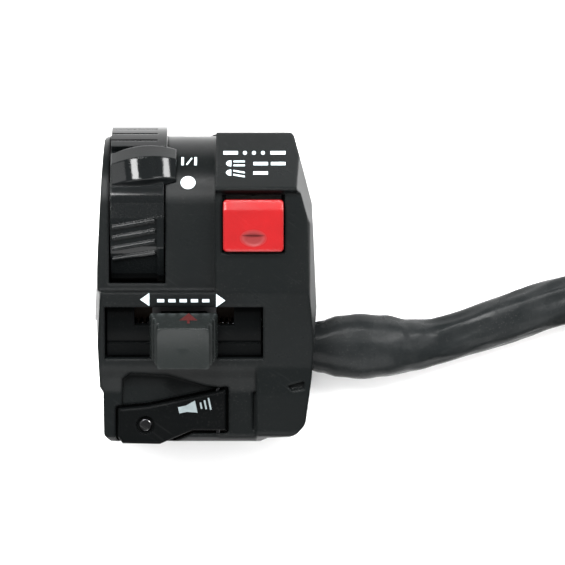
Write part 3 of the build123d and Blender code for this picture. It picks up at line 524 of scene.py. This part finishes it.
def mark_row(count, pitch, width, height, sides, first, ink):
    """The row as a plain mesh, its sizes in millimetres and its first mark at a photo place."""
    obj = link_object("mark_row", bpy.data.meshes.new("mark_row"))
    rule = obj.modifiers.new("Mark Row", "NODES")
    rule.node_group = built_once(mark_row_tree)
    values = {"Count": count, "Sides": sides, "Pitch": pitch * MM, "Width": width * MM,
              "Height": height * MM, "Ink": ink}
    for item in rule.node_group.interface.items_tree:
        if item.in_out == "INPUT":
            rule[item.identifier] = values[item.name]
    obj.update_tag()
    mesh = plain_mesh(obj)
    x, y = px(*first)
    mesh.transform(Matrix.Translation((x * MM, y * MM, 0.0)))
    return mesh


def print_marks(name, outlines, rows, target, material, body, height):
    """Lays flat outlines and rows of marks onto a surface as a thin film of ink.

    The outlines are in millimetres seen from above, and the rows are meshes in metres.
    """
    bm = bmesh.new()
    for mesh in rows:
        bm.from_mesh(mesh)
        bpy.data.meshes.remove(mesh)
    for outline in outlines:
        bm.faces.new([bm.verts.new((x * MM, y * MM, 0)) for x, y in outline])
    bmesh.ops.triangulate(bm, faces=bm.faces)
    for _ in range(INK_CUTS):
        long_edges = [edge for edge in bm.edges if edge.calc_length() > INK_STEP * MM]
        if not long_edges:
            break
        bmesh.ops.subdivide_edges(bm, edges=long_edges, cuts=1)
        bmesh.ops.triangulate(bm, faces=bm.faces)
    for vertex in bm.verts:
        start = Vector((vertex.co.x, vertex.co.y, INK_RAY_HEIGHT))
        place, normal, _, _ = target.ray_cast(start, -UP)
        if place is None:
            raise RuntimeError(f"{name} misses the surface under it")
        vertex.co = place + normal * height
    bmesh.ops.recalc_face_normals(bm, faces=bm.faces)
    for face in bm.faces:
        if face.normal.z < 0:
            face.normal_flip()
    obj = mesh_object(name, bm)
    film = obj.modifiers.new("Film", "SOLIDIFY")
    film.thickness = height * 1.5
    film.offset = -1.0
    return finish_piece(obj, material, body)


# Legend outlines: given in photo places, returned in millimetres seen from above

def px(x, y):
    return (x - PHOTO_ORIGIN[0]) / PHOTO_SCALE, (PHOTO_ORIGIN[1] - y) / PHOTO_SCALE


def bar(x0, y0, x1, y1):
    """An upright bar between two corners."""
    return [px(x0, y0), px(x0, y1), px(x1, y1), px(x1, y0)]


def disc(x, y, rx, ry, count=28):
    return [px(x + rx * math.cos(angle), y + ry * math.sin(angle))
            for angle in (2 * math.pi * index / count for index in range(count))]


def beam(x, y, drop):
    """A lamp sign: a half-round lens and two bars of light that fall by the given drop."""
    lens = [(0.0, -3.2), (-3.4, -2.5), (-5.4, 0.0), (-3.4, 2.5), (0.0, 3.2)]
    signs = [[px(x + across, y + down) for across, down in lens]]
    near, far, half = x + 2.2, x + 13.5, 0.8
    for top in (y - 2.0, y + 2.0):
        signs.append([px(near, top - half), px(near, top + half),
                      px(far, top + half + drop), px(far, top - half + drop)])
    return signs


# Settings

class StageSettings(bpy.types.PropertyGroup):
    camera_height: FloatProperty(
        name="Camera Height", description="Camera above the handlebar's axis",
        default=1.2, min=0.2, subtype="DISTANCE", unit="LENGTH")
    view_width: FloatProperty(
        name="View Width", description="Width of the view near the buttons",
        default=0.14125, min=0.02, subtype="DISTANCE", unit="LENGTH")
    key_power: FloatProperty(
        name="Key Power", description="Power that the lights take their shares of",
        default=16.0, min=0.0, unit="POWER")
    floor_colour: FloatVectorProperty(
        name="Floor Colour", description="Paper under the cluster",
        default=(0.93, 0.93, 0.93), size=3, min=0, max=1, subtype="COLOR")


class HousingSettings(bpy.types.PropertyGroup):
    housing_colour: FloatVectorProperty(
        name="Housing Colour", description="Coating of the two halves",
        default=(0.0029, 0.0036, 0.0037), size=3, min=0, max=1, subtype="COLOR")
    grain_size: FloatProperty(
        name="Grain Size", description="Size of the coating's grain in millimetres",
        default=0.35, min=0.05)
    edge_radius: FloatProperty(
        name="Edge Softness", description="Softened edge in millimetres",
        default=1.1, min=0.0)


class ControlSettings(bpy.types.PropertyGroup):
    rocker_colour: FloatVectorProperty(
        name="Rocker Colour", description="Headlamp dimmer rocker",
        default=(0.195, 0.005, 0.006), size=3, min=0, max=1, subtype="COLOR")
    knob_colour: FloatVectorProperty(
        name="Knob Colour", description="Turn signal knob",
        default=(0.0085, 0.0100, 0.0098), size=3, min=0, max=1, subtype="COLOR")
    lever_colour: FloatVectorProperty(
        name="Lever Colour", description="Choke lever and, darker, horn lever and slot cover",
        default=(0.0032, 0.0038, 0.0040), size=3, min=0, max=1, subtype="COLOR")


class LegendSettings(bpy.types.PropertyGroup):
    ink_colour: FloatVectorProperty(
        name="Ink Colour", description="Printed marks",
        default=(0.50, 0.59, 0.61), size=3, min=0, max=1, subtype="COLOR")
    ink_height: FloatProperty(
        name="Ink Height", description="How far the ink stands off the surface",
        default=0.00004, min=0.00001, subtype="DISTANCE", unit="LENGTH")
    turn_dashes: IntProperty(
        name="Turn Dashes", description="Dashes between the two turn arrows",
        default=5, min=1, max=5)


class HarnessSettings(bpy.types.PropertyGroup):
    sleeve_diameter: FloatProperty(
        name="Sleeve Diameter", description="Width of the vinyl sleeve",
        default=SLEEVE_WIDTH, min=0.004, subtype="DISTANCE", unit="LENGTH")
    sleeve_flatness: FloatProperty(
        name="Sleeve Flatness", description="Height over width of the sleeve",
        default=0.84, min=0.5, max=1.0, subtype="FACTOR")
    wrinkle_depth: FloatProperty(
        name="Wrinkle Depth", description="Depth of the sleeve's creases",
        default=0.00045, min=0.0, subtype="DISTANCE", unit="LENGTH")
    tape_turns: IntProperty(
        name="Tape Turns", description="Turns of tape at the sleeve's end",
        default=5, min=2)


# Operators

class CLUSTER_OT_stage(bpy.types.Operator):
    """Sets up the pale table, the soft lights and the camera"""
    bl_idname = "cluster.stage"
    bl_label = "Stage"

    def execute(self, context):
        settings = context.scene.cluster_stage
        self.make_floor(settings)
        self.make_lights(context, settings)
        self.make_camera(context, settings)
        return {"FINISHED"}

    def make_floor(self, settings):
        bm = bmesh.new()
        bmesh.ops.create_grid(bm, x_segments=4, y_segments=4, size=FLOOR_SIZE)
        for vertex in bm.verts:
            vertex.co.z = TABLE_Z
        floor = mesh_object("paper_floor", bm)
        material, tree, surface = shader("Paper", 0.7, level=0.2)
        grain = place_group(tree, grain_group, Grain_Size=0.8)
        tone = mix_colour(tree, grain.outputs["Patch"], settings.floor_colour,
                          scaled(settings.floor_colour, 0.985))
        tree.links.new(tone, surface.inputs["Base Color"])
        floor.data.materials.append(material)

    def make_lights(self, context, settings):
        world = bpy.data.worlds.new("Studio")
        context.scene.world = world
        context.scene.view_settings.view_transform = "Standard"
        world.use_nodes = True
        background = world.node_tree.nodes["Background"]
        background.inputs["Color"].default_value = (1, 1, 1, 1)
        background.inputs["Strength"].default_value = WORLD_LIGHT
        for name, place, size, share in LIGHTS:
            data = bpy.data.lights.new(name, "AREA")
            data.shape = "RECTANGLE"
            data.size, data.size_y = size
            data.energy = settings.key_power * share
            lamp = link_object(name, data)
            lamp.location = place
            lamp.rotation_euler = Vector(place).to_track_quat("Z", "Y").to_euler()

    def make_camera(self, context, settings):
        data = bpy.data.cameras.new("photo_camera")
        distance = settings.camera_height - BUTTON_HEIGHT
        data.lens = data.sensor_width * distance / settings.view_width
        data.clip_end = 10.0
        camera = link_object("photo_camera", data)
        camera.location = (*VIEW_MIDDLE, settings.camera_height)
        context.scene.camera = camera


class CLUSTER_OT_harness(bpy.types.Operator):
    """Makes the wrinkled vinyl sleeve, its taped end and the loose leads"""
    bl_idname = "cluster.harness"
    bl_label = "Harness"

    def execute(self, context):
        settings = context.scene.cluster_harness
        points = spline_points("sleeve_line", SLEEVE_ROUTE, 24)
        sleeve = self.make_sleeve(points, settings)
        tape = self.make_tape(points, settings)
        leads = self.make_leads()
        distances(points)[-1]
        return {"FINISHED"}

    def sleeve_material(self):
        material, tree, surface = shader("Sleeve Vinyl", 0.3, level=0.05)
        place = object_place(tree)
        detail = place_group(tree, grain_group, Grain_Size=0.7, Patch_Size=9.0)
        settled = place_group(tree, dust_group, Amount=0.08)
        folds = noise_node(tree, place, scale=210.0, detail=5.0, roughness=0.62)
        coarse = noise_node(tree, place, scale=75.0, detail=3.0, roughness=0.5)
        fine = math_node(tree, "MULTIPLY", detail.outputs["Height"], 0.06)
        height = math_node(tree, "ADD", math_node(tree, "MULTIPLY", folds, 0.5), coarse)
        height = math_node(tree, "ADD", height, fine)
        body = mix_colour(tree, detail.outputs["Patch"], (0.0065, 0.0075, 0.0078),
                          (0.0105, 0.0115, 0.0118))
        body = mix_colour(tree, settled.outputs["Mask"], body, (0.30, 0.29, 0.27))
        tree.links.new(body, surface.inputs["Base Color"])
        shine = map_range(tree, detail.outputs["Patch"], 0.0, 1.0, 0.20, 0.30)
        tree.links.new(shine, surface.inputs["Roughness"])
        bump(tree, surface, height, 0.6 * MM, strength=0.4)
        return material

    def make_sleeve(self, points, settings):
        """The sleeve's skin: swollen by the housing, and flat and creased where it is slack."""
        bm = bmesh.new()
        layer = bm.loops.layers.uv.new("sleeve")
        run = distances(points)
        rings = []
        for point, along, (side, up) in zip(points, run, ring_frames(points)):
            half = read_table(SLEEVE_SWELL, along) * settings.sleeve_diameter / SLEEVE_WIDTH
            loose = min(1.0, max(0.0, (along - PORT_MOUTH) / SLACK_LENGTH))
            high = half * (1 - (1 - settings.sleeve_flatness) * loose)
            high = min(high, SLEEVE_HALF_HEIGHT)
            sink = (SLEEVE_HALF_HEIGHT - high) * loose * 0.9
            ring = []
            for index in range(SLEEVE_SIDES):
                angle = 2 * math.pi * index / SLEEVE_SIDES
                fold = self.fold(along, angle) * settings.wrinkle_depth * loose
                across = math.cos(angle) * (half - settings.wrinkle_depth + fold)
                rise = math.sin(angle) * (high - settings.wrinkle_depth + fold)
                place = point + side * across + up * rise
                place.z = max(place.z - sink, TABLE_Z + TABLE_GAP)
                ring.append(bm.verts.new(place))
            rings.append(ring)
        skin(bm, rings, layer, run)
        sleeve = mesh_object("harness_sleeve_skin", bm)
        smooth(sleeve)
        return finish_piece(sleeve, self.sleeve_material(), "root",
                            replaced="harness_sleeve")

    def fold(self, along, angle):
        """Lengthwise flats and slanting creases of a slack vinyl tube."""
        x, y = math.cos(angle), math.sin(angle)
        flat = noise.noise(Vector((x * 1.6, y * 1.6, along * 18.0)))
        crease = noise.noise(Vector((x * 2.2 + 7.0, y * 2.2, along * 75.0 + angle * 0.4)))
        sharp = 1.0 - 2.0 * abs(crease)
        return flat * 1.4 + sharp * 0.8 - 0.4

    def make_tape(self, points, settings):
        """Turns of tape wound round the sleeve's end, each lapping the last."""
        low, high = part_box("sleeve_end_tape")
        length = max(high.x - low.x, high.y - low.y)
        start = distances(points)[-1] - length
        direction = (points[-1] - points[-2]).normalized()
        side = direction.cross(UP).normalized()
        up = side.cross(direction).normalized()
        bm = bmesh.new()
        layer = bm.loops.layers.uv.new("tape")
        rings, lengths = [], []
        for step in range(TAPE_STEPS + 1):
            along = length * step / TAPE_STEPS
            ease = min(1.0, step / 3, (TAPE_STEPS - step) / 3)
            radii = []
            for index in range(TAPE_SIDES):
                lap = (along / length * settings.tape_turns + index / TAPE_SIDES) % 1.0
                radii.append(TAPE_RADIUS + TAPE_LAP * ease * (1.0 - 0.6 * lap))
            middle = points[-1] - direction * (length - along)
            rings.append(round_ring(bm, middle, side, up, radii))
            lengths.append(start + along)
        skin(bm, rings, layer, lengths)
        tape = mesh_object("sleeve_end_tape_wound", bm)
        smooth(tape)
        material = plastic("Tape Vinyl", (0.008, 0.0085, 0.009), rough=(0.3, 0.42), grain=0.9,
                           depth=0.02, edge=0.0, scuffs=0.2, dust=0.1, level=0.15)
        return finish_piece(tape, material, "root", replaced="sleeve_end_tape")

    def make_leads(self):
        """Seven insulated leads from the sleeve to the connector, each with its own colour."""
        low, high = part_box("connector_leads")
        middle_x, _, middle_z = SLEEVE_ROUTE[-1]
        width, height = (size - CONNECTOR_WALLS for size in CONNECTOR_SIZE)
        bm = bmesh.new()
        layer = bm.loops.layers.uv.verify()
        tint = bm.loops.layers.float_color.new("lead_tint")
        for number, colour in enumerate(LEAD_COLOURS):
            angle = 2 * math.pi * number / 6
            ring = LEAD_RING * (number > 0)
            start = Vector((middle_x - ring * math.cos(angle), low.y,
                            middle_z + ring * math.sin(angle)))
            column, row = number % 4, number // 4
            end = Vector((middle_x - (column - 1.5) * width / 4, high.y,
                          middle_z + (row - 0.5) * height / 2))
            step = Vector((0, LEAD_STRAIGHT, 0))
            line = spline_points("lead_line", [start, start + step, end - step, end], 10)
            rings = [round_ring(bm, point, side, up, [LEAD_RADIUS] * LEAD_SIDES)
                     for point, (side, up) in zip(line, ring_frames(line))]
            before = set(bm.faces)
            skin(bm, rings, layer, distances(line))
            for face in set(bm.faces) - before:
                for corner in face.loops:
                    corner[tint] = (*colour, 1.0)
        leads = mesh_object("connector_leads_insulation", bm)
        smooth(leads)
        return finish_piece(leads, self.lead_material(), "root",
                            replaced="connector_leads")

    def lead_material(self):
        """Insulation in the colour that each lead's faces carry."""
        material, tree, surface = shader("Lead Insulation", 0.38)
        source = tree.nodes.new("ShaderNodeVertexColor")
        source.layer_name = "lead_tint"
        clean = source.outputs["Color"]
        detail = place_group(tree, grain_group, Grain_Size=0.4, Patch_Size=4.0)
        darker = tree.nodes.new("ShaderNodeHueSaturation")
        darker.inputs["Value"].default_value = 0.75
        tree.links.new(clean, darker.inputs["Color"])
        body = mix_colour(tree, detail.outputs["Patch"], clean, darker.outputs["Color"])
        tree.links.new(body, surface.inputs["Base Color"])
        bump(tree, surface, detail.outputs["Height"], 0.02 * MM)
        return material


class CLUSTER_OT_housing(bpy.types.Operator):
    """Coats the two housing halves"""
    bl_idname = "cluster.housing"
    bl_label = "Housing"

    def execute(self, context):
        settings = context.scene.cluster_housing
        coating = plastic("Housing Coating", tuple(settings.housing_colour), rough=(0.27, 0.35),
                          grain=settings.grain_size, depth=0.006, edge=settings.edge_radius,
                          scuffs=0.15, dust=0.04, level=0.07)
        dress(coating, "rear_housing", "front_housing")
        return {"FINISHED"}


class CLUSTER_OT_controls(bpy.types.Operator):
    """Finishes the choke lever, rocker, turn signal knob and horn lever"""
    bl_idname = "cluster.controls"
    bl_label = "Controls"

    def execute(self, context):
        settings = context.scene.cluster_controls
        black = tuple(settings.lever_colour)
        # Painted shade: a darker copy of the lever black, for the horn lever under the turn panel
        # and the cover down in the turn slot
        shaded_black = scaled(black, 0.45)
        choke = plastic("Choke Lever Plastic", black, rough=(0.05, 0.09), grain=0.5, depth=0.002,
                        edge=0.4, scuffs=0.12, dust=0.03, level=0.12)
        dress(choke, "choke_lever")
        horn = plastic("Horn Lever Plastic", shaded_black, rough=(0.30, 0.40), grain=0.3,
                       depth=0.006, edge=0.5, scuffs=0.12, dust=0.03, level=0.02)
        dress(horn, "horn_lever")
        rocker = plastic("Rocker Plastic", tuple(settings.rocker_colour), rough=(0.13, 0.19),
                         grain=0.5, depth=0.002, edge=0.8, scuffs=0.1, dust=0.03, level=0.3)
        self.shade_dimple(rocker)
        dress(rocker, "dimmer_rocker")
        knob = plastic("Knob Plastic", tuple(settings.knob_colour), rough=(0.17, 0.24),
                       grain=0.35, depth=0.004, edge=0.5, scuffs=0.15, dust=0.04, level=0.13)
        dress(knob, "turn_knob")
        cover = plastic("Slot Cover Plastic", shaded_black, rough=(0.24, 0.32), grain=0.5,
                        depth=0.004, edge=0.3, scuffs=0.1, dust=0.01, level=0.02)
        dress(cover, "turn_cover")
        return {"FINISHED"}

    def shade_dimple(self, material):
        """Painted shade in the rocker's dimple, with a duller shine there."""
        tree = material.node_tree
        surface = tree.nodes["Principled BSDF"]
        clean = surface.inputs["Base Color"].links[0].from_socket
        shine = surface.inputs["Roughness"].links[0].from_socket
        (x, y), (half_width, half_height) = DIMPLE_MIDDLE, DIMPLE_REACH
        local = tree.nodes.new("ShaderNodeMapping")
        local.inputs["Location"].default_value = (-x / half_width, -y / half_height, 0.0)
        local.inputs["Scale"].default_value = (1 / half_width, 1 / half_height, 0.0)
        tree.links.new(object_place(tree), local.inputs["Vector"])
        reach = tree.nodes.new("ShaderNodeVectorMath")
        reach.operation = "LENGTH"
        tree.links.new(local.outputs[0], reach.inputs[0])
        mask = map_range(tree, reach.outputs["Value"], 0.6, 1.2, 1.0, 0.0)
        # Painted shade: the rocker's colour darkened by half inside the dimple
        dimple_shade = tree.nodes.new("ShaderNodeHueSaturation")
        dimple_shade.inputs["Value"].default_value = 0.5
        tree.links.new(clean, dimple_shade.inputs["Color"])
        body = mix_colour(tree, mask, clean, dimple_shade.outputs["Color"])
        tree.links.new(body, surface.inputs["Base Color"])
        dulled = math_node(tree, "ADD", shine, math_node(tree, "MULTIPLY", mask, 0.65))
        tree.links.new(dulled, surface.inputs["Roughness"])


class CLUSTER_OT_inner_parts(bpy.types.Operator):
    """Finishes the switch bases, boards, contacts, screws, inner leads and connector"""
    bl_idname = "cluster.inner_parts"
    bl_label = "Inner Parts"

    def execute(self, context):
        nylon = plastic("Black Nylon", (0.014, 0.014, 0.015), rough=(0.4, 0.55), grain=0.4,
                        depth=0.01, edge=0.2, scuffs=0.2, dust=0.1)
        dress(nylon, "choke_friction_washer", "dimmer_plunger", "dimmer_base", "turn_slider",
              "turn_base", "horn_plunger", "horn_base")
        laminate = plastic("Board Laminate", (0.05, 0.026, 0.012), rough=(0.45, 0.6), grain=0.6,
                           depth=0.02, edge=0.1, scuffs=0.5, dust=0.1)
        dress(laminate, "dimmer_terminal_board", "turn_terminal_board")
        pale = plastic("Connector Nylon", (0.44, 0.42, 0.35), rough=(0.35, 0.5), grain=0.5,
                       depth=0.01, edge=0.25, scuffs=0.3, dust=0.15, tint=0.93)
        dress(pale, "connector_housing")
        insulation = plastic("Inner Lead Insulation", (0.05, 0.05, 0.055), rough=(0.35, 0.45),
                             grain=0.4, depth=0.01, edge=0.0, scuffs=0.1, dust=0.0)
        dress(insulation, "switch_leads")
        dress(metal("Contact Brass", (0.80, 0.58, 0.26)), "dimmer_moving_contact",
              "dimmer_fixed_contacts", "turn_fixed_contacts", "turn_moving_contact",
              "horn_fixed_contact", "threaded_inserts", "connector_terminals")
        dress(metal("Zinc Plate", (0.62, 0.60, 0.52)), "housing_screws", "dimmer_pivot_pin",
              "switch_base_screws", "harness_clamp_screws")
        dress(metal("Black Oxide", OXIDE, OXIDE_SHINE), "horn_lever_screw", "horn_hinge_pin")
        dress(metal("Spring Steel", BRIGHT_WIRE), "harness_clamp")
        return {"FINISHED"}


class CLUSTER_OT_springs(bpy.types.Operator):
    """Puts each coil spring's own mesh in place of its CAD node, with a wire finish"""
    bl_idname = "cluster.springs"
    bl_label = "Springs"

    def execute(self, context):
        oxide = metal("Oxide Spring Wire", OXIDE, OXIDE_SHINE)
        bright = metal("Spring Wire", BRIGHT_WIRE)
        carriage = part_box("turn_slider")
        middle = (carriage[0].x + carriage[1].x) / 2
        for side, inwards in (("left", Vector((1, 0, 0))), ("right", Vector((-1, 0, 0)))):
            self.spring(f"turn_spring_{side}", "turn_centring_springs", oxide, "black_steel",
                        inwards, "root", "turn_slide", middle)
        cancel = next(joint for joint in frame["joints"] if joint["name"] == "turn_cancel")
        self.spring("cancel_spring_coil", "turn_cancel_spring", oxide, "black_steel",
                    -Vector(cancel["axis"]), "turn_slide", "turn_push")
        self.spring("horn_spring_coil", "horn_return_spring", bright, "spring_steel",
                    UP, "root", "horn")
        return {"FINISHED"}

    def spring(self, name, node_name, material, slot, along, still, moving, middle=None):
        """A spring's own coil, left where it stands at rest; still and moving are not used.

        Where one node holds two springs, the middle between them parts this one off.
        """
        bm = bmesh.new()
        bm.from_mesh(NODES[node_name].data)
        bmesh.ops.remove_doubles(bm, verts=bm.verts, dist=0.001 * MM)
        if middle is not None:
            past = [vertex for vertex in bm.verts if (vertex.co.x - middle) * along.x > 0]
            bmesh.ops.delete(bm, geom=past, context="VERTS")
        coil = mesh_object(name, bm)
        smooth(coil)
        coil.data.materials.append(material)
        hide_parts(node_name)
        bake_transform(coil)


class CLUSTER_OT_legends(bpy.types.Operator):
    """Prints the plain signs beside the controls"""
    bl_idname = "cluster.legends"
    bl_label = "Legends"

    def execute(self, context):
        settings = context.scene.cluster_legends
        white = tuple(settings.ink_colour)
        ink = self.ink_material("Legend Ink", white)
        worn_ink = self.ink_material("Worn Legend Ink", scaled(white, 0.3), level=0.15)
        red_ink = self.ink_material("Knob Mark Ink", (0.038, 0.005, 0.005), level=0.15)
        dots = mark_row(count=3, pitch=2.25, width=0.95, height=0.95, sides=20,
                        first=(245.0, 153.2), ink=ink)
        dashes = mark_row(count=settings.turn_dashes, pitch=11.2 / PHOTO_SCALE,
                          width=7.0 / PHOTO_SCALE, height=0.75, sides=4,
                          first=(161.5, 300.6), ink=ink)
        housing = ray_target("rear_housing")
        rows = [
            ("choke_marks", self.choke_marks(), [], housing, ink, "root"),
            ("lamp_marks", self.lamp_marks(), [dots], housing, ink, "root"),
            ("turn_marks", self.turn_marks(), [dashes], housing, ink, "root"),
            ("horn_marks", self.horn_marks(), [], ray_target("horn_lever"), worn_ink, "horn"),
            ("knob_mark", self.knob_mark(), [], ray_target("turn_knob"), red_ink, "turn_push"),
        ]
        for row in rows:
            print_marks(*row, settings.ink_height)
        return {"FINISHED"}

    def ink_material(self, name, colour, level=0.5):
        material, tree, surface = shader(name, 0.45, level=level)
        detail = place_group(tree, grain_group, Grain_Size=0.25, Patch_Size=2.0)
        body = mix_colour(tree, detail.outputs["Patch"], colour, scaled(colour, 0.8))
        tree.links.new(body, surface.inputs["Base Color"])
        bump(tree, surface, detail.outputs["Height"], 0.01 * MM)
        return material

    def choke_marks(self):
        """A choke plate between two walls, and a round dot."""
        left, right = bar(181.5, 157.5, 184.0, 165.5), bar(194.5, 157.5, 197.0, 165.5)
        plate = [px(186.2, 164.6), px(187.4, 165.4), px(192.6, 158.6), px(191.4, 157.8)]
        return [left, right, plate, disc(188.4, 183.0, 7.4, 6.4)]

    def lamp_marks(self):
        """High and low beam signs, with bars above and beside them."""
        marks = [bar(223.5, 151.4, 238.0, 154.8), bar(270.5, 151.4, 285.5, 154.8)]
        marks += beam(231.5, 164.0, 0.0) + beam(231.5, 173.4, 2.0)
        marks += [bar(253.5, 162.6, 268.0, 165.8), bar(271.0, 162.6, 285.5, 165.8)]
        marks += [bar(253.5, 172.2, 268.0, 175.4)]
        return marks

    def turn_marks(self):
        """Arrows to the left and to the right."""
        left = [px(141.2, 299.4), px(150.2, 305.8), px(150.2, 293.0)]
        right = [px(225.6, 300.4), px(216.6, 294.0), px(216.6, 306.8)]
        return [left, right]

    def horn_marks(self):
        """A plain horn sign, turned with the lever's slope."""
        (x, y), turn = (193.5, 407.0), math.radians(-12.0)
        shapes = [[(-15.0, 3.2), (-7.0, 3.2), (3.0, 6.2), (3.0, -6.2), (-7.0, -3.2), (-15.0, -3.2)]]
        for near, half in ((7.0, 3.2), (11.4, 4.6), (15.8, 6.0)):
            far = near + 1.7
            shapes.append([(near, -half), (near, half), (far, half), (far, -half)])
        return [[px(x + right * math.cos(turn) - down * math.sin(turn),
                    y + right * math.sin(turn) + down * math.cos(turn)) for right, down in shape]
                for shape in shapes]

    def knob_mark(self):
        """A small arrow with a short tail."""
        head = [px(198.5, 320.0), px(189.5, 313.0), px(180.5, 320.0)]
        tail = [px(188.2, 323.0), px(190.8, 323.0), px(190.8, 320.0), px(188.2, 320.0)]
        return [head, tail]


class CLUSTER_PT_panel(bpy.types.Panel):
    """Lists the steps that dress the switch cluster"""
    bl_idname = "CLUSTER_PT_panel"
    bl_label = "Switch Cluster"
    bl_space_type = "VIEW_3D"
    bl_region_type = "UI"
    bl_category = "Switches"

    def draw(self, context):
        for operator in OPERATORS:
            self.layout.operator(operator.bl_idname)


OPERATORS = (
    CLUSTER_OT_stage, CLUSTER_OT_harness, CLUSTER_OT_housing, CLUSTER_OT_controls,
    CLUSTER_OT_inner_parts, CLUSTER_OT_springs, CLUSTER_OT_legends,
)
SETTINGS = {
    "cluster_stage": StageSettings,
    "cluster_housing": HousingSettings,
    "cluster_controls": ControlSettings,
    "cluster_legends": LegendSettings,
    "cluster_harness": HarnessSettings,
}
CLASSES = tuple(SETTINGS.values()) + OPERATORS + (CLUSTER_PT_panel,)


def register():
    for cls in CLASSES:
        bpy.utils.register_class(cls)
    for name, cls in SETTINGS.items():
        setattr(bpy.types.Scene, name, PointerProperty(type=cls))


def unregister():
    for name in SETTINGS:
        delattr(bpy.types.Scene, name)
    for cls in reversed(CLASSES):
        bpy.utils.unregister_class(cls)


def main():
    register()
    bpy.ops.cluster.stage()
    bpy.ops.cluster.harness()
    bpy.ops.cluster.housing()
    bpy.ops.cluster.controls()
    bpy.ops.cluster.inner_parts()
    bpy.ops.cluster.springs()
    bpy.ops.cluster.legends()


if __name__ == "__main__":
    main()
